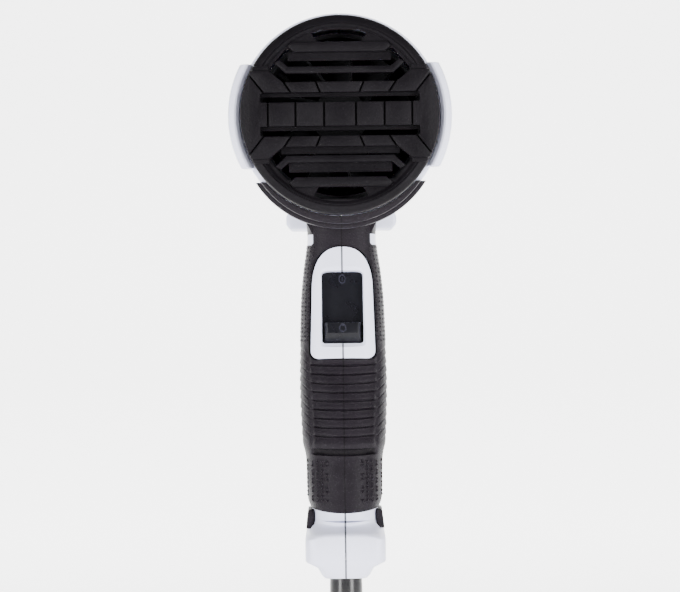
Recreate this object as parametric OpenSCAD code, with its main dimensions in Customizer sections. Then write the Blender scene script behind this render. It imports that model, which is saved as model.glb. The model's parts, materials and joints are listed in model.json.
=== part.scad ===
// Hot-air gun: a round barrel on a pistol grip, with a slide switch and a mains cord.
// It is drawn with the barrel's axis along +Y and its rear face at y = 0, +Z up and +X right.
// in_row_frame() then moves the origin to the middle of the hand grip.

/* [Barrel] */
// Diameter of the rear cap
cap_d = 80; // [66:1:98]
// How deep the rear cap is
cap_depth = 16; // [14:0.5:20]
// Thickness of the rear cap's skirt
cap_wall = 2; // [1.6:0.1:3]
// How far the shells stand out past the cap, all round
shell_step = 1.4; // [1:0.1:3]
// Wall of the shells
wall = 2.4; // [1.8:0.1:3]
// Distance from the rear face to where the barrel starts to narrow
straight_len = 86; // [84:1:100]
// Distance from the rear face to the front end of the shells
shell_len = 148; // [142:1:180]
// Diameter of the barrel at the front end of the shells
front_d = 62; // [58:1:66]

/* [Side wings] */
// How far the wings stand out from the shells
wing_rise = 3.3; // [2:0.1:5]
// Height of the wings
wing_h = 42; // [30:1:46]
// How far forward the wings reach
wing_len = 84; // [50:1:84]

/* [Nozzle] */
// Outside diameter of the steel outlet tube
nozzle_d = 34.5; // [33:0.1:36]
// Sheet thickness of the outlet tube
nozzle_wall = 0.8; // [0.6:0.1:1]
// Length of plain tube in front of the collar
nozzle_reach = 74; // [50:1:95]
// Length of the collar in front of the shells
collar_len = 28; // [24:1:34]

/* [Handle] */
// Width of the handle at the palm
grip_w = 36; // [33:0.5:43]
// Depth of the handle at the palm, front to back
grip_depth = 44.5; // [42:0.5:53]
// Thickness of the soft grip over the shells
grip_t = 1.8; // [1.4:0.1:2]
// Width of the heel block that the gun stands on
heel_w = 32.2; // [31:0.1:39]
// Height of the heel block
heel_h = 17; // [15:0.5:20]

/* [Switch] */
// Width of the switch window
window_w = 16.8; // [14:0.1:18]
// Height of the switch window
window_h = 29.8; // [28:0.1:32]
// Width of the frame round the window, each side
frame_w = 4.9; // [4:0.1:5.5]
// Height of the sliding knob
knob_h = 8.4; // [7:0.1:9]
// Travel of the sliding knob, from off to the second step
switch_travel = 10; // [8:0.5:11]

/* [Fan and motor] */
// Diameter of the fan
fan_d = 62; // [48:1:62]
// Number of fan blades
fan_blades = 9; // [7:1:13]
// Depth of the fan along its axis
fan_depth = 14; // [10:0.5:15]
// Gap between the fan's tips and the guide ring
tip_gap = 0.8; // [0.6:0.1:1.5]
// Diameter of the motor
motor_d = 30; // [28:0.5:34]
// Length of the motor's steel can
motor_len = 36; // [34:1:38]
// Diameter of the motor's shaft
shaft_d = 3; // [2.5:0.1:3.6]

/* [Heater] */
// Outside diameter of the mica tube
mica_d = 31.6; // [30:0.1:32]
// Length of the mica tube
mica_len = 122; // [110:1:126]
// Turns in each heating coil
coil_turns = 9; // [6:1:12]
// Thickness of the heating wire
heat_wire_d = 0.9; // [0.6:0.1:1.1]

/* [Fasteners] */
// Thread diameter of the housing screws
screw_d = 3; // [2.5:0.1:3.5]
// Head diameter of the housing screws
screw_head_d = 6; // [5:0.1:6.6]

/* [Cord] */
// Diameter of the mains cord
cord_d = 7.5; // [6.5:0.1:8]
// Length of the bend sleeve below the heel
sleeve_len = 58; // [40:1:60]
// Diameter of the bend sleeve at the heel
sleeve_d = 13; // [12:0.1:14]
// Turns in the stored coil
stored_turns = 7; // [6:1:8]

/* [Clearances] */
// Gap between pieces that slide or slip into each other
slip = 0.25; // [0.2:0.05:0.3]
// Radial gap of the shaft in its bearings
running_fit = 0.03; // [0.02:0.01:0.05]

/* [Hidden] */

$fn = 48;
skin_fn = 32;
far = 400;

// Barrel
cap_r = cap_d / 2;
shell_r = cap_r + shell_step;
bore_r = shell_r - wall;
front_r = front_d / 2;
ring_w = 5.4;
ring_in = cap_r - ring_w;
ring_back = 1.5;
spigot_back = 6;
spigot_r = cap_r - cap_wall - slip;
wing_r = shell_r + wing_rise;
wing_back = 8;
chin_w = 43;
chin_drop = 4.6;
chin_back = 62;
chin_front = 122;

// The cap's bars, as half heights and half widths from the middle of the disc
band_half = 4.7;
slot_half = 8.2;
row_half = 12.7;
arm_half = 16.9;
bar_half = 19.3;
gap_half = 24.4;
rim_half = 27.7;
end_half = 34.2;
slot_reach = cap_r - 8.4;
arm_reach = cap_r - 15.8;
gap_reach = cap_r - 17.5;
end_reach = cap_r - 31.6;
groove = 0.7;
groove_deep = 0.8;
bar_t = 4;

// Fan and motor, along the barrel
fan_r = fan_d / 2;
fan_back = 21;
fan_hub_r = 11;
guide_in = fan_r + tip_gap;
guide_t = 1.8;
guide_out = guide_in + guide_t;
guide_back = 18.5;
guide_front = 84;
motor_r = motor_d / 2;
motor_back = fan_back + fan_depth + 6;
motor_front = motor_back + motor_len;
can_t = 1.2;
seat_t = 1.6;
shaft_r = shaft_d / 2;
shaft_back = fan_back - 2;
endcap_t = 3;
bearing_r = 4.5;
bearing_len = 3;
rotor_r = motor_r - can_t - 4.2;
board_y = motor_front + endcap_t + 1;
board_t = 1.6;
rib_t = 2;
rib_backs = [guide_back + 3, guide_front - 5];

// Heater and nozzle, along the barrel
nozzle_r = nozzle_d / 2;
collar_back = shell_len;
collar_front = collar_back + collar_len;
tube_front = collar_front + nozzle_reach;
step_y = collar_front + 2;
step_rise = 0.4;
flange_y = collar_back + 2;
collar_front_r = nozzle_r + 9.6;
collar_mouth_r = nozzle_r + 2.4;
collar_t = 2.4;
collar_spigot_r = front_r - wall - slip;
collar_bore_r = collar_spigot_r - collar_t;
flange_r = (nozzle_r + collar_bore_r) / 2 + 1.15;
duct_t = 0.8;
duct_back = guide_front + slip;
duct_front = flange_y - slip;
mica_r = mica_d / 2;
mica_t = 0.5;
mica_back = guide_front + 6;
mica_front = mica_back + mica_len;
base_t = 4;
cross_t = 0.8;
cross_half = mica_r - mica_t - heat_wire_d - 0.5;
cross_back = mica_back + base_t;
cross_front = mica_front - 3;
heat_r = cross_half + heat_wire_d / 2 + 0.15;
cutout_r = 2.6;

// Handle: each station has its drop below the barrel, its middle's y, its width and depth
// as shares of the palm's, and the roundness of its outline
STATIONS = [
    [-14, 62, 0.95, 1.3, 3.4], [-4, 61, 0.84, 1.2, 3.8], [4, 60, 0.79, 1.14, 4],
    [11, 58.8, 0.81, 1.1, 4], [20, 57, 0.88, 1.06, 3.8], [31, 54.8, 0.94, 1.03, 3.6],
    [48, 51, 0.975, 1.01, 3.3], [64, 47.8, 1, 1, 2.9], [78, 45, 0.985, 0.98, 2.6],
    [90, 42.8, 0.945, 0.965, 2.6], [96, 41.6, 0.875, 0.945, 2.6],
    [108, 39.2, 0.85, 0.925, 2.6], [116.6, 37.6, 0.77, 0.9, 2.6], [121, 36.6, 0.75, 0.88, 2.6]
];
grip_last = 12;
grip_drop = STATIONS[grip_last][0];
collar_last = 13;
collar_drop = STATIONS[collar_last][0];
collar_inset = 0.2;
heel_drop = 126;
heel_front = 54;
heel_foot = heel_drop + heel_h;
slice_t = 0.2;
pad_top = 116.9;
pad_low = 124.5;
pad_t = 4;
pad_x = STATIONS[collar_last][2] * grip_w / 2 - 2.1;
mid_drop = 66;
mid_y = 47;

// Switch: its own frame leans with the back of the handle
window_drop = 34.9;
lean = atan((back_y(11) - back_y(56)) / 45);
switch_y = back_y(window_drop);
window_r = 1.2;
frame_r = 3.6;
frame_low = 6.3;
frame_high = 9.6;
plate_deep = 4;
plate_t = 1.4;
plate_w = window_w + 1.6;
knob_w = window_w - 2 * slip - 1.4;
knob_rise = 1.2;
body_deep = 8;
body_size = [14, 14, 32];

// Fasteners
bore_screw_r = screw_d / 2 + 0.1;
boss_r = screw_d / 2 + 1.9;
head_x = 6.5;
head_t = 2.2;
screw_end = 9;
SCREWS = [
    [shell_len - 12, front_r - 6.4], [shell_len - 12, 6.4 - front_r],
    [68, under(22)], [52, under(71)], [10, under(heel_drop + heel_h / 2)]
];

// Cord
cord_r = cord_d / 2;
cord_y = 32;
sleeve_r = sleeve_d / 2;
sleeve_end = under(heel_foot + sleeve_len);
seat_h = 6;
floor_z = sleeve_end - 66;
clamp_drop = 104;
core_top = under(98);
block_drop = 84;
coil_mean = 41;
coil_bundle_w = 2 * cord_d + 1;
coil_bundle_h = stored_turns / 2 * cord_d;
coil_at = [-coil_mean, 104];
// The cord's way from the bend sleeve's end to the coil, and from the coil to the plug
ROUTE = [
    [0, 32, 0], [0, 32, -8], [0, 32, -16], [0, 35.5, -33.5], [0, 45.5, -48.5],
    [0, 60.5, -58.5], [0, 78, -62], [0, 91, -62], [0, 104, -62]
];
TAIL = [[-82, 104], [-82, 92], [-82, 78], [-81, 64], [-80, 50], [-80, 38]];
cord_low = floor_z + cord_r;
plug_size = [30, 34, 16];
plug_y = 38;
plug_x = -80;
pin_d = 4.8;
pin_len = 19;
pin_gap = 19;

// ---- Functions ----

// Height of a place that lies below the barrel's underside
function under(drop) = -shell_r - drop;

function mix(a, b, t) = a + (b - a) * t;

// The station that a drop falls in, and its share of the way to the next one
function span(drop, i = 0) =
    i >= len(STATIONS) - 2 || drop <= STATIONS[i + 1][0] ? i : span(drop, i + 1);

function at(drop, column) =
    let (i = span(drop), a = STATIONS[i], b = STATIONS[i + 1])
    mix(a[column], b[column], (drop - a[0]) / (b[0] - a[0]));

function half_w(drop) = at(drop, 2) * grip_w / 2;

function half_depth(drop) = at(drop, 3) * grip_depth / 2;

// The y of the handle's back surface
function back_y(drop) = at(drop, 1) - half_depth(drop);

function power(v, e) = sign(v) * pow(abs(v), e);

// Outline of a superellipse with half sizes a and b
function superellipse(a, b, n) =
    [for (i = [0 : skin_fn - 1])
        let (t = 360 * i / skin_fn)
        [a * power(cos(t), 2 / n), b * power(sin(t), 2 / n)]];

function unit(v) = v / norm(v);

function heading(path, i) =
    unit(path[min(i + 1, len(path) - 1)] - path[max(i - 1, 0)]);

// Rings of a round tube along a path, each square to it
function tube_rings(path, r, sides) =
    [for (i = [0 : len(path) - 1])
        let (
            d = heading(path, i),
            hint = abs(d[0]) < 0.9 ? [1, 0, 0] : [0, 1, 0],
            u = unit(cross(d, hint)),
            v = cross(d, u)
        )
        for (k = [0 : sides - 1])
            path[i] + r * (cos(360 * k / sides) * u + sin(360 * k / sides) * v)];

// Triangles of a closed skin over rings of points, each ring clockwise as its end sees it
function skin_faces(rings, sides) =
    concat(
        [[for (k = [0 : sides - 1]) k]],
        [for (i = [0 : rings - 2], k = [0 : sides - 1], half = [0, 1])
            let (a = i * sides + k, b = i * sides + (k + 1) % sides)
            half == 0 ? [b, a, a + sides] : [b, a + sides, b + sides]],
        [[for (k = [sides - 1 : -1 : 0]) (rings - 1) * sides + k]]
    );

// A Catmull-Rom curve through the points, with n steps in each gap
function bend(p, n) =
    [for (i = [0 : len(p) - 2], k = [0 : n - 1])
        let (
            t = k / n,
            a = p[max(i - 1, 0)],
            b = p[i],
            c = p[i + 1],
            d = p[min(i + 2, len(p) - 1)]
        )
        0.5 * (2 * b + (c - a) * t + (2 * a - 5 * b + 4 * c - d) * t * t
            + (3 * b - a - 3 * c + d) * t * t * t),
     p[len(p) - 1]];

// ---- Shared shapes ----

module in_row_frame() {
    translate([0, -mid_y, -under(mid_drop)])
        children();
}

// Turns a profile of [radius, y] round the barrel's axis
module spin_y() {
    rotate([-90, 0, 0])
        rotate_extrude()
            children();
}

// Stands a drawing in x and z between two distances from the rear face
module plate_y(y0, y1) {
    translate([0, y1, 0])
        rotate([90, 0, 0])
            linear_extrude(y1 - y0)
                children();
}

module rod_y(r, y0, y1) {
    plate_y(y0, y1)
        circle(r);
}

module tube_y(r_out, r_in, y0, y1) {
    plate_y(y0, y1)
        difference() {
            circle(r_out);
            circle(r_in);
        }
}

module rod_x(r, x0, x1, place) {
    translate([x0, place[0], place[1]])
        rotate([0, 90, 0])
            cylinder(r = r, h = x1 - x0, $fn = 24);
}

module rod_z(r, z0, z1, place) {
    translate([place[0], place[1], z0])
        cylinder(r = r, h = z1 - z0);
}

module half_space(side) {
    translate([side > 0 ? 0 : -far, -far, -far])
        cube([far, 2 * far, 2 * far]);
}

module tube_along(path, r, sides) {
    polyhedron(tube_rings(path, r, sides), skin_faces(len(path), sides));
}

// One thin slice of the handle, drawn in from the soft grip's surface
module slice(drop, inset) {
    translate([0, at(drop, 1), under(drop)])
        linear_extrude(slice_t)
            polygon(superellipse(half_w(drop) - inset, half_depth(drop) - inset, at(drop, 4)));
}

// The handle between two stations, drawn in by inset
module handle_skin(inset, first, last) {
    rings = [for (i = [last : -1 : first])
        let (drop = STATIONS[i][0], middle = [0, at(drop, 1), under(drop)])
        for (p = superellipse(half_w(drop) - inset, half_depth(drop) - inset, at(drop, 4)))
            middle + [p[0], p[1], 0]];
    polyhedron(rings, skin_faces(last - first + 1, skin_fn));
}

// The heel block under the grip, with its scooped back
module heel_skin(inset) {
    half = heel_w / 2 - inset;
    hull() {
        slice(collar_drop - 0.5, collar_inset + 0.4 + inset);
        heel_slice(heel_drop + inset, half - 1, 4 + inset, heel_front - inset);
    }
    hull() {
        heel_slice(heel_drop + inset, half - 1, 4 + inset, heel_front - inset);
        heel_slice(heel_drop + 2 + inset, half, inset, heel_front - inset);
        heel_slice(heel_foot - 8, half, inset, heel_front - inset);
        heel_slice(heel_foot - 1.5 - inset, half - 5, 5 + inset, heel_front - 7 - inset);
        heel_slice(heel_foot - inset, half - 7, 7 + inset, heel_front - 9 - inset);
    }
}

module heel_slice(drop, half, y0, y1) {
    translate([-half, y0, under(drop)])
        cube([2 * half, y1 - y0, slice_t]);
}

// Carries a drawing into the switch's leaning frame: x across, y into the handle, z up
module in_switch_frame() {
    translate([0, switch_y, under(window_drop)])
        rotate([-lean, 0, 0])
            children();
}

// The window's opening, with a slightly crowned top
module window_outline() {
    half = window_w / 2;
    hull() {
        for (s = [-1, 1], z = [window_r - window_h / 2, window_h / 2 - window_r - 1])
            translate([s * (half - window_r), z])
                circle(window_r, $fn = 16);
        translate([-half / 2, 0])
            square([half, window_h / 2]);
    }
}

// The frame round the window, with an arched top and a gap all round
module frame_outline(gap) {
    half = window_w / 2 + frame_w + gap;
    hull() {
        for (s = [-1, 1])
            translate([s * (half - frame_r), frame_r - window_h / 2 - frame_low - gap])
                circle(frame_r, $fn = 24);
        translate([0, window_h / 2 + frame_high + gap - half])
            circle(half, $fn = 32);
    }
}

// ---- Housing ----

module barrel_skin() {
    spin_y()
        polygon([
            [0, spigot_back], [spigot_r, spigot_back], [spigot_r, cap_depth + slip],
            [shell_r, cap_depth + slip], [shell_r, straight_len],
            [mix(shell_r, front_r, 0.42), mix(straight_len, shell_len, 0.5)],
            [front_r, shell_len], [0, shell_len]
        ]);
}

module barrel_cavity() {
    spin_y()
        polygon([
            [0, spigot_back - 1], [spigot_r - wall, spigot_back - 1],
            [spigot_r - wall, cap_depth + 1], [bore_r, cap_depth + 1 + wall], [bore_r, straight_len],
            [mix(shell_r, front_r, 0.42) - wall, mix(straight_len, shell_len, 0.5)],
            [front_r - wall, shell_len + 1], [0, shell_len + 1]
        ]);
}

// The wings on both sides of the barrel, level with the cap
module wings() {
    intersection() {
        spin_y()
            polygon([
                [cap_r + slip, wing_back + 2], [wing_r - 2, wing_back], [wing_r, wing_back + 2],
                [wing_r, wing_len - 20], [shell_r - 1, wing_len], [shell_r - 1, cap_depth + 1],
                [cap_r + slip, cap_depth + 1]
            ]);
        plate_y(0, far)
            polygon([
                [-wing_r, -wing_h / 2 + 3], [3 - wing_r, -wing_h / 2], [wing_r - 3, -wing_h / 2],
                [wing_r, -wing_h / 2 + 3], [wing_r, wing_h / 2 - 3], [wing_r - 3, wing_h / 2],
                [3 - wing_r, wing_h / 2], [-wing_r, wing_h / 2 - 3]
            ]);
    }
}

// The block under the barrel, in front of the handle
module chin_block() {
    hull() {
        for (s = [-1, 1], y = [chin_back + 4, chin_front - 10])
            translate([s * (chin_w / 2 - 4), y, under(chin_drop - 4)])
                sphere(4, $fn = 16);
        translate([-14, chin_back + 4, 8 - shell_r])
            cube([28, chin_front - chin_back - 8, 1]);
    }
}

module shell_skin() {
    barrel_skin();
    wings();
    chin_block();
    handle_skin(grip_t, 0, collar_last);
    handle_skin(collar_inset, grip_last, collar_last);
    heel_skin(0);
    intersection() {
        handle_skin(0, 2, 8);
        in_switch_frame()
            plate_y(-2, 10)
                frame_outline(0);
    }
}

// Ribs inside the barrel that the fan's guide ring sits in
module guide_ribs() {
    for (y = rib_backs)
        tube_y(bore_r + 0.5, guide_out + slip, y, y + rib_t);
}

// Ledges in the handle that the switch, the terminal block and the bend sleeve sit on
module handle_ledges() {
    block_z = under(block_drop) - 6.3;
    reach = grip_w / 2 - 5;
    for (s = [-1, 1])
        translate([s > 0 ? 4 : -reach, mid_y - 16, block_z - 1.6])
            cube([reach - 4, 18, 1.6]);
    rod_z(sleeve_r + 3, under(heel_foot), under(heel_foot - seat_h), [0, cord_y]);
    in_switch_frame()
        for (z = [-body_size[2] / 2 - 1.8, body_size[2] / 2 + slip])
            for (s = [-1, 1])
                translate([s > 0 ? 3.5 : -reach - 0.5, body_deep + 3, z])
                    cube([reach - 3, 9, 1.5]);
}

module bosses() {
    for (p = SCREWS)
        rod_x(boss_r, -28, 28, p);
}

module shell_solid() {
    difference() {
        shell_skin();
        barrel_cavity();
        handle_skin(grip_t + wall, 0, collar_last);
        heel_skin(wall);
    }
    intersection() {
        shell_skin();
        union() {
            guide_ribs();
            handle_ledges();
            difference() {
                bosses();
                rod_y(nozzle_r + 3, 0, far);
            }
        }
    }
}

// Everything that is cut out of both shells
module shell_cuts() {
    in_switch_frame() {
        plate_y(-5, plate_deep)
            window_outline();
        translate([-plate_w / 2 - slip, plate_deep - 0.2, -window_h / 2 - switch_travel - 2])
            cube([plate_w + 2 * slip, 6, window_h + 2 * switch_travel + 4]);
    }
    rod_z(sleeve_r + slip, under(heel_foot + 2), under(heel_foot - seat_h - 1), [0, cord_y]);
    heel_pad_pockets();
}

module screw_bores() {
    for (p = SCREWS) {
        rod_x(bore_screw_r, -screw_end - 1, far, p);
        rod_x(screw_head_d / 2 + slip, head_x, far, p);
    }
}

module housing_left() {
    color("lavender")
        intersection() {
            half_space(-1);
            difference() {
                shell_solid();
                shell_cuts();
                screw_bores();
            }
        }
}

module housing_right() {
    color("lavender")
        intersection() {
            half_space(1);
            difference() {
                shell_solid();
                shell_cuts();
                screw_bores();
            }
        }
}

// ---- Soft grip ----

// The band that hugs the underside of the barrel
module grip_band() {
    difference() {
        union() {
            translate([0, 0, -7.5])
                rod_y(shell_r - 2.9, cap_depth + 0.8, cap_depth + 22);
            translate([0, 0, -7.5])
                rod_y(shell_r - 4.6, cap_depth + 0.8, cap_depth + 44);
        }
        rod_y(shell_r + 0.05, 0, far);
        translate([-far, -far, -0.67 * shell_r])
            cube([2 * far, 2 * far, far]);
    }
}

module grip_skin() {
    difference() {
        handle_skin(0, 1, grip_last);
        rod_y(shell_r + 0.05, 0, far);
    }
    grip_band();
}

// A groove all round the handle, above the lower part of the grip
module grip_groove() {
    difference() {
        translate([-30, 0, under(94.6)])
            cube([60, 90, 2.3]);
        hull() {
            slice(90, 1.1);
            slice(96, 1.1);
        }
    }
}

module grip_half(side) {
    intersection() {
        half_space(side);
        difference() {
            grip_skin();
            handle_skin(grip_t - 0.03, 0, collar_last);
            in_switch_frame()
                plate_y(-5, 14)
                    frame_outline(slip);
            chin_gap();
            grip_groove();
            heel_clear();
            screw_bores();
        }
    }
}

module chin_gap() {
    minkowski() {
        chin_block();
        cube(2 * slip, center = true);
    }
}

module heel_clear() {
    translate([-30, -10, under(heel_foot)])
        cube([60, 90, heel_foot - grip_drop + 0.1]);
}

module grip_left() {
    color("dimgray")
        grip_half(-1);
}

module grip_right() {
    color("dimgray")
        grip_half(1);
}

// Pads let into both sides of the handle's end, or with a gap their pockets
module pad_block(gap) {
    for (s = [-1, 1])
        translate([s > 0 ? pad_x - gap : -pad_x - pad_t + gap, 25 - gap, under(pad_low) - gap])
            cube([pad_t, 22 + 2 * gap, pad_low - pad_top + 2 * gap]);
}

module heel_pad_pockets() {
    pad_block(0.05);
}

module heel_pads() {
    color("dimgray")
        pad_block(0);
}

// ---- Rear cap ----

// Draws its children at the cap's top and mirrored at its foot
module both_ends() {
    for (sz = [0, 1])
        mirror([0, sz])
            children();
}

// The openings between the bars
module cap_gaps() {
    both_ends() {
        translate([-slot_reach, band_half])
            square([2 * slot_reach, slot_half - band_half]);
        polygon([
            [-arm_reach, row_half], [arm_reach, row_half],
            [arm_reach + 3, arm_half], [-arm_reach - 3, arm_half]
        ]);
        translate([-gap_reach, bar_half])
            square([2 * gap_reach, gap_half - bar_half]);
        polygon([
            [-end_reach, rim_half], [end_reach, rim_half],
            [end_reach + 2.5, min(end_half, ring_in - 1)],
            [-end_reach - 2.5, min(end_half, ring_in - 1)]
        ]);
    }
}

// Shallow grooves that divide the middle bars into blocks
module cap_grooves() {
    for (x = [-28, -17.4, -6.2, 6.2, 17.4, 28])
        translate([x - groove / 2, -band_half])
            square([groove, 2 * band_half]);
    both_ends()
        for (s = [-1, 1]) {
            groove_bar([s * 7.8, slot_half], [s * 9.4, row_half]);
            groove_bar([s * 19.3, slot_half], [s * (arm_reach - 2), row_half]);
            groove_bar([s * 30.4, slot_half], [s * (arm_reach + 10.6), arm_half - 0.6]);
        }
}

module groove_bar(a, b) {
    side = [groove / 2, 0];
    polygon([a - side, a + side, b + side, b - side]);
}

module cap_disc() {
    difference() {
        circle(ring_in + 0.5);
        cap_gaps();
    }
}

module rear_cap() {
    color("#2d2a30")
        union() {
            difference() {
                union() {
                    plate_y(0, groove_deep)
                        difference() {
                            intersection() {
                                cap_disc();
                                square([far, 2 * bar_half], center = true);
                            }
                            cap_grooves();
                        }
                    plate_y(groove_deep, bar_t)
                        cap_disc();
                }
                for (sz = [-1, 1])
                    translate([-far / 2, -1, sz > 0 ? row_half + 0.1 : -bar_half - 0.1])
                        cube([far, 2.2, bar_half - row_half]);
            }
            spin_y()
                polygon([
                    [ring_in, ring_back + 0.5], [ring_in + 0.5, ring_back], [cap_r - 2, ring_back],
                    [cap_r - 0.6, ring_back + 0.6], [cap_r, ring_back + 2], [cap_r, cap_depth],
                    [cap_r - cap_wall, cap_depth], [cap_r - cap_wall, ring_back + 3.4],
                    [ring_in, ring_back + 3.4]
                ]);
        }
}

// ---- Nozzle and air path ----

module front_collar() {
    color("#2d2a30")
        spin_y()
            polygon([
                [collar_bore_r, collar_back - 8], [collar_spigot_r, collar_back - 8],
                [collar_spigot_r, collar_back], [front_r, collar_back],
                [front_r, collar_back + 4],
                [collar_front_r, collar_front - 2], [collar_front_r - 2, collar_front],
                [collar_mouth_r, collar_front], [collar_mouth_r, collar_front - 2.4],
                [collar_front_r - collar_t, collar_front - 3.4],
                [collar_bore_r, collar_back + 4]
            ]);
}

module nozzle_tube() {
    color("silver")
        spin_y()
            polygon([
                [nozzle_r - nozzle_wall, flange_y], [nozzle_r - nozzle_wall, tube_front],
                [nozzle_r, tube_front], [nozzle_r, step_y + 1], [nozzle_r + step_rise, step_y],
                [nozzle_r + step_rise, flange_y + nozzle_wall + 3],
                [nozzle_r + 3, flange_y + nozzle_wall], [flange_r, flange_y + nozzle_wall],
                [flange_r, flange_y]
            ]);
}

module air_duct() {
    color("gainsboro")
        spin_y()
            polygon([
                [guide_out - duct_t, duct_back], [guide_out, duct_back], [guide_out, duct_back + 4],
                [mica_r + 0.3 + duct_t, duct_front - 12], [mica_r + 0.3 + duct_t, duct_front - duct_t],
                [flange_r, duct_front - duct_t], [flange_r, duct_front],
                [mica_r + 0.3, duct_front], [mica_r + 0.3, duct_front - 12.3],
                [guide_out - duct_t, duct_back + 3.7]
            ]);
}

module fan_shroud() {
    vane = guide_in - motor_r - seat_t;
    color("darkgray") {
        tube_y(guide_out, guide_in, guide_back, guide_front);
        tube_y(motor_r + slip + seat_t, motor_r + slip, motor_back + 4, motor_front - 2);
        for (a = [0 : 360 / 7 : 359])
            rotate([0, a, 0])
                translate([-0.8, motor_back + 6, motor_r + slip + seat_t - 0.4])
                    cube([1.6, motor_len - 10, vane + 0.6 - slip]);
    }
}

module fan_blade() {
    translate([0, fan_back + fan_depth / 2, 0])
        rotate([0, 0, 38])
            translate([-0.7, -fan_depth / 2 - 0.6, fan_hub_r - 1])
                cube([1.4, fan_depth + 1.2, fan_r - fan_hub_r - 1]);
}

module fan_impeller() {
    color("whitesmoke")
        difference() {
            union() {
                rod_y(fan_hub_r, fan_back, fan_back + fan_depth);
                intersection() {
                    for (a = [0 : 360 / fan_blades : 359])
                        rotate([0, a, 0])
                            fan_blade();
                    rod_y(fan_r, fan_back, fan_back + fan_depth);
                }
            }
            rod_y(shaft_r, 0, far);
            tube_y(fan_hub_r - 1.6, shaft_r + 2.5, fan_back + 2, fan_back + fan_depth + 1);
        }
}

// ---- Motor ----

module motor_can() {
    color("silver")
        difference() {
            rod_y(motor_r, motor_back, motor_front);
            rod_y(motor_r - can_t, motor_back + can_t, motor_front + 1);
            rod_y(bearing_r, motor_back - 1, motor_back + can_t + 1);
            for (s = [-1, 1])
                translate([s * 9, 0, 0])
                    rod_y(1.1, motor_back - 1, motor_back + can_t + 1);
        }
}

module motor_endcap() {
    color("dimgray")
        difference() {
            union() {
                rod_y(motor_r, motor_front, motor_front + endcap_t);
                rod_y(motor_r - can_t - 0.1, motor_front - 2, motor_front + 0.1);
                for (s = [-1, 1])
                    translate([s * 10, 0, 0])
                        rod_y(1.2, motor_front, board_y);
            }
            rod_y(bearing_r, motor_front - 3, motor_front + 1);
            rod_y(shaft_r + 0.6, 0, far);
            for (s = [-1, 1])
                translate([-2.2, motor_front - 3, s > 0 ? 4.7 : -10.1])
                    cube([4.4, 3.1, 5.4]);
        }
}

module bearing(y) {
    tube_y(bearing_r, shaft_r + running_fit, y, y + bearing_len);
}

module bearing_rear() {
    color("goldenrod")
        bearing(motor_back);
}

module bearing_front() {
    color("goldenrod")
        bearing(motor_front - 2);
}

module motor_shaft() {
    color("lightgray")
        rod_y(shaft_r, shaft_back, motor_front + 2);
}

module motor_rotor() {
    slots = 5;
    color("peru")
        difference() {
            rod_y(rotor_r, motor_back + 6, motor_front - 14);
            rod_y(shaft_r, 0, far);
            for (a = [0 : 360 / slots : 359])
                rotate([0, a, 0])
                    translate([-1, motor_back + 5, rotor_r - 3])
                        cube([2, motor_len, 4]);
        }
}

module commutator() {
    color("darkorange")
        difference() {
            rod_y(3.6, motor_front - 12, motor_front - 4);
            rod_y(shaft_r, 0, far);
        }
}

module motor_magnets() {
    outer = motor_r - can_t - 0.05;
    color("darkslategray")
        difference() {
            tube_y(outer, outer - 3.4, motor_back + 5, motor_front - 13);
            for (s = [-1, 1])
                translate([-far, 0, s > 0 ? 5 : -5 - far])
                    cube([2 * far, far, far]);
        }
}

module motor_brushes() {
    color("black")
        for (s = [-1, 1])
            translate([-2, motor_front - 10, s > 0 ? 3.8 : -9.8])
                cube([4, 7.6, 6]);
}

module motor_board() {
    color("seagreen")
        difference() {
            rod_y(motor_r - 1, board_y, board_y + board_t);
            rod_y(3.2, 0, far);
        }
}

module rectifier_diodes() {
    color("black")
        for (x = [-7.5, 7.5], z = [-4, 4])
            rod_x(1.3, x - 2.5, x + 2.5, [board_y + board_t + 1.3, z]);
}

module motor_screws() {
    color("silver")
        for (s = [-1, 1])
            translate([s * 9, 0, 0]) {
                rod_y(1, motor_back - 0.6, motor_back + 3);
                rod_y(2, motor_back - 1.8, motor_back);
            }
}

// ---- Heater ----

module mica_cross() {
    color("wheat") {
        translate([-cross_half, cross_back, -cross_t / 2])
            cube([2 * cross_half, cross_front - cross_back, cross_t]);
        translate([-cross_t / 2, cross_back, -cross_half])
            cube([cross_t, cross_front - cross_back, 2 * cross_half]);
    }
}

// A heating coil wound round the cross, with a turn at every pitch
function winding(y0, pitch, steps) =
    [for (i = [0 : coil_turns * steps])
        let (a = 360 * i / steps)
        [heat_r * cos(a), y0 + pitch * i / steps, heat_r * sin(a)]];

module heating_coil(first) {
    third = (cross_front - cross_back) / 2;
    pitch = (third - 8) / coil_turns;
    color("silver")
        tube_along(winding(cross_back + first * third + 4, pitch, 16), heat_wire_d / 2, 5);
}

module heating_coil_low() {
    heating_coil(0);
}

module heating_coil_high() {
    heating_coil(1);
}

module mica_tube() {
    color("tan")
        tube_y(mica_r, mica_r - mica_t, mica_back, mica_front);
}

module element_base() {
    color("ivory")
        difference() {
            rod_y(mica_r - mica_t, mica_back, mica_back + base_t);
            for (a = [45 : 90 : 359])
                rotate([0, a, 0])
                    translate([0, 0, 8.5])
                        rod_y(3, 0, far);
            for (s = [-1, 1])
                translate([s * 3.5, 0, 0])
                    rod_y(0.9, 0, far);
        }
}

module element_terminals() {
    color("gold")
        for (s = [-1, 1])
            translate([s * 3.5, 0, 0])
                rod_y(0.9, mica_back - 3, cross_back - 0.2);
}

module thermal_cutout() {
    color("lightgray")
        translate([4, 0, 4])
            rod_y(cutout_r, cross_back, cross_back + 8);
}

// ---- Switch ----

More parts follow.
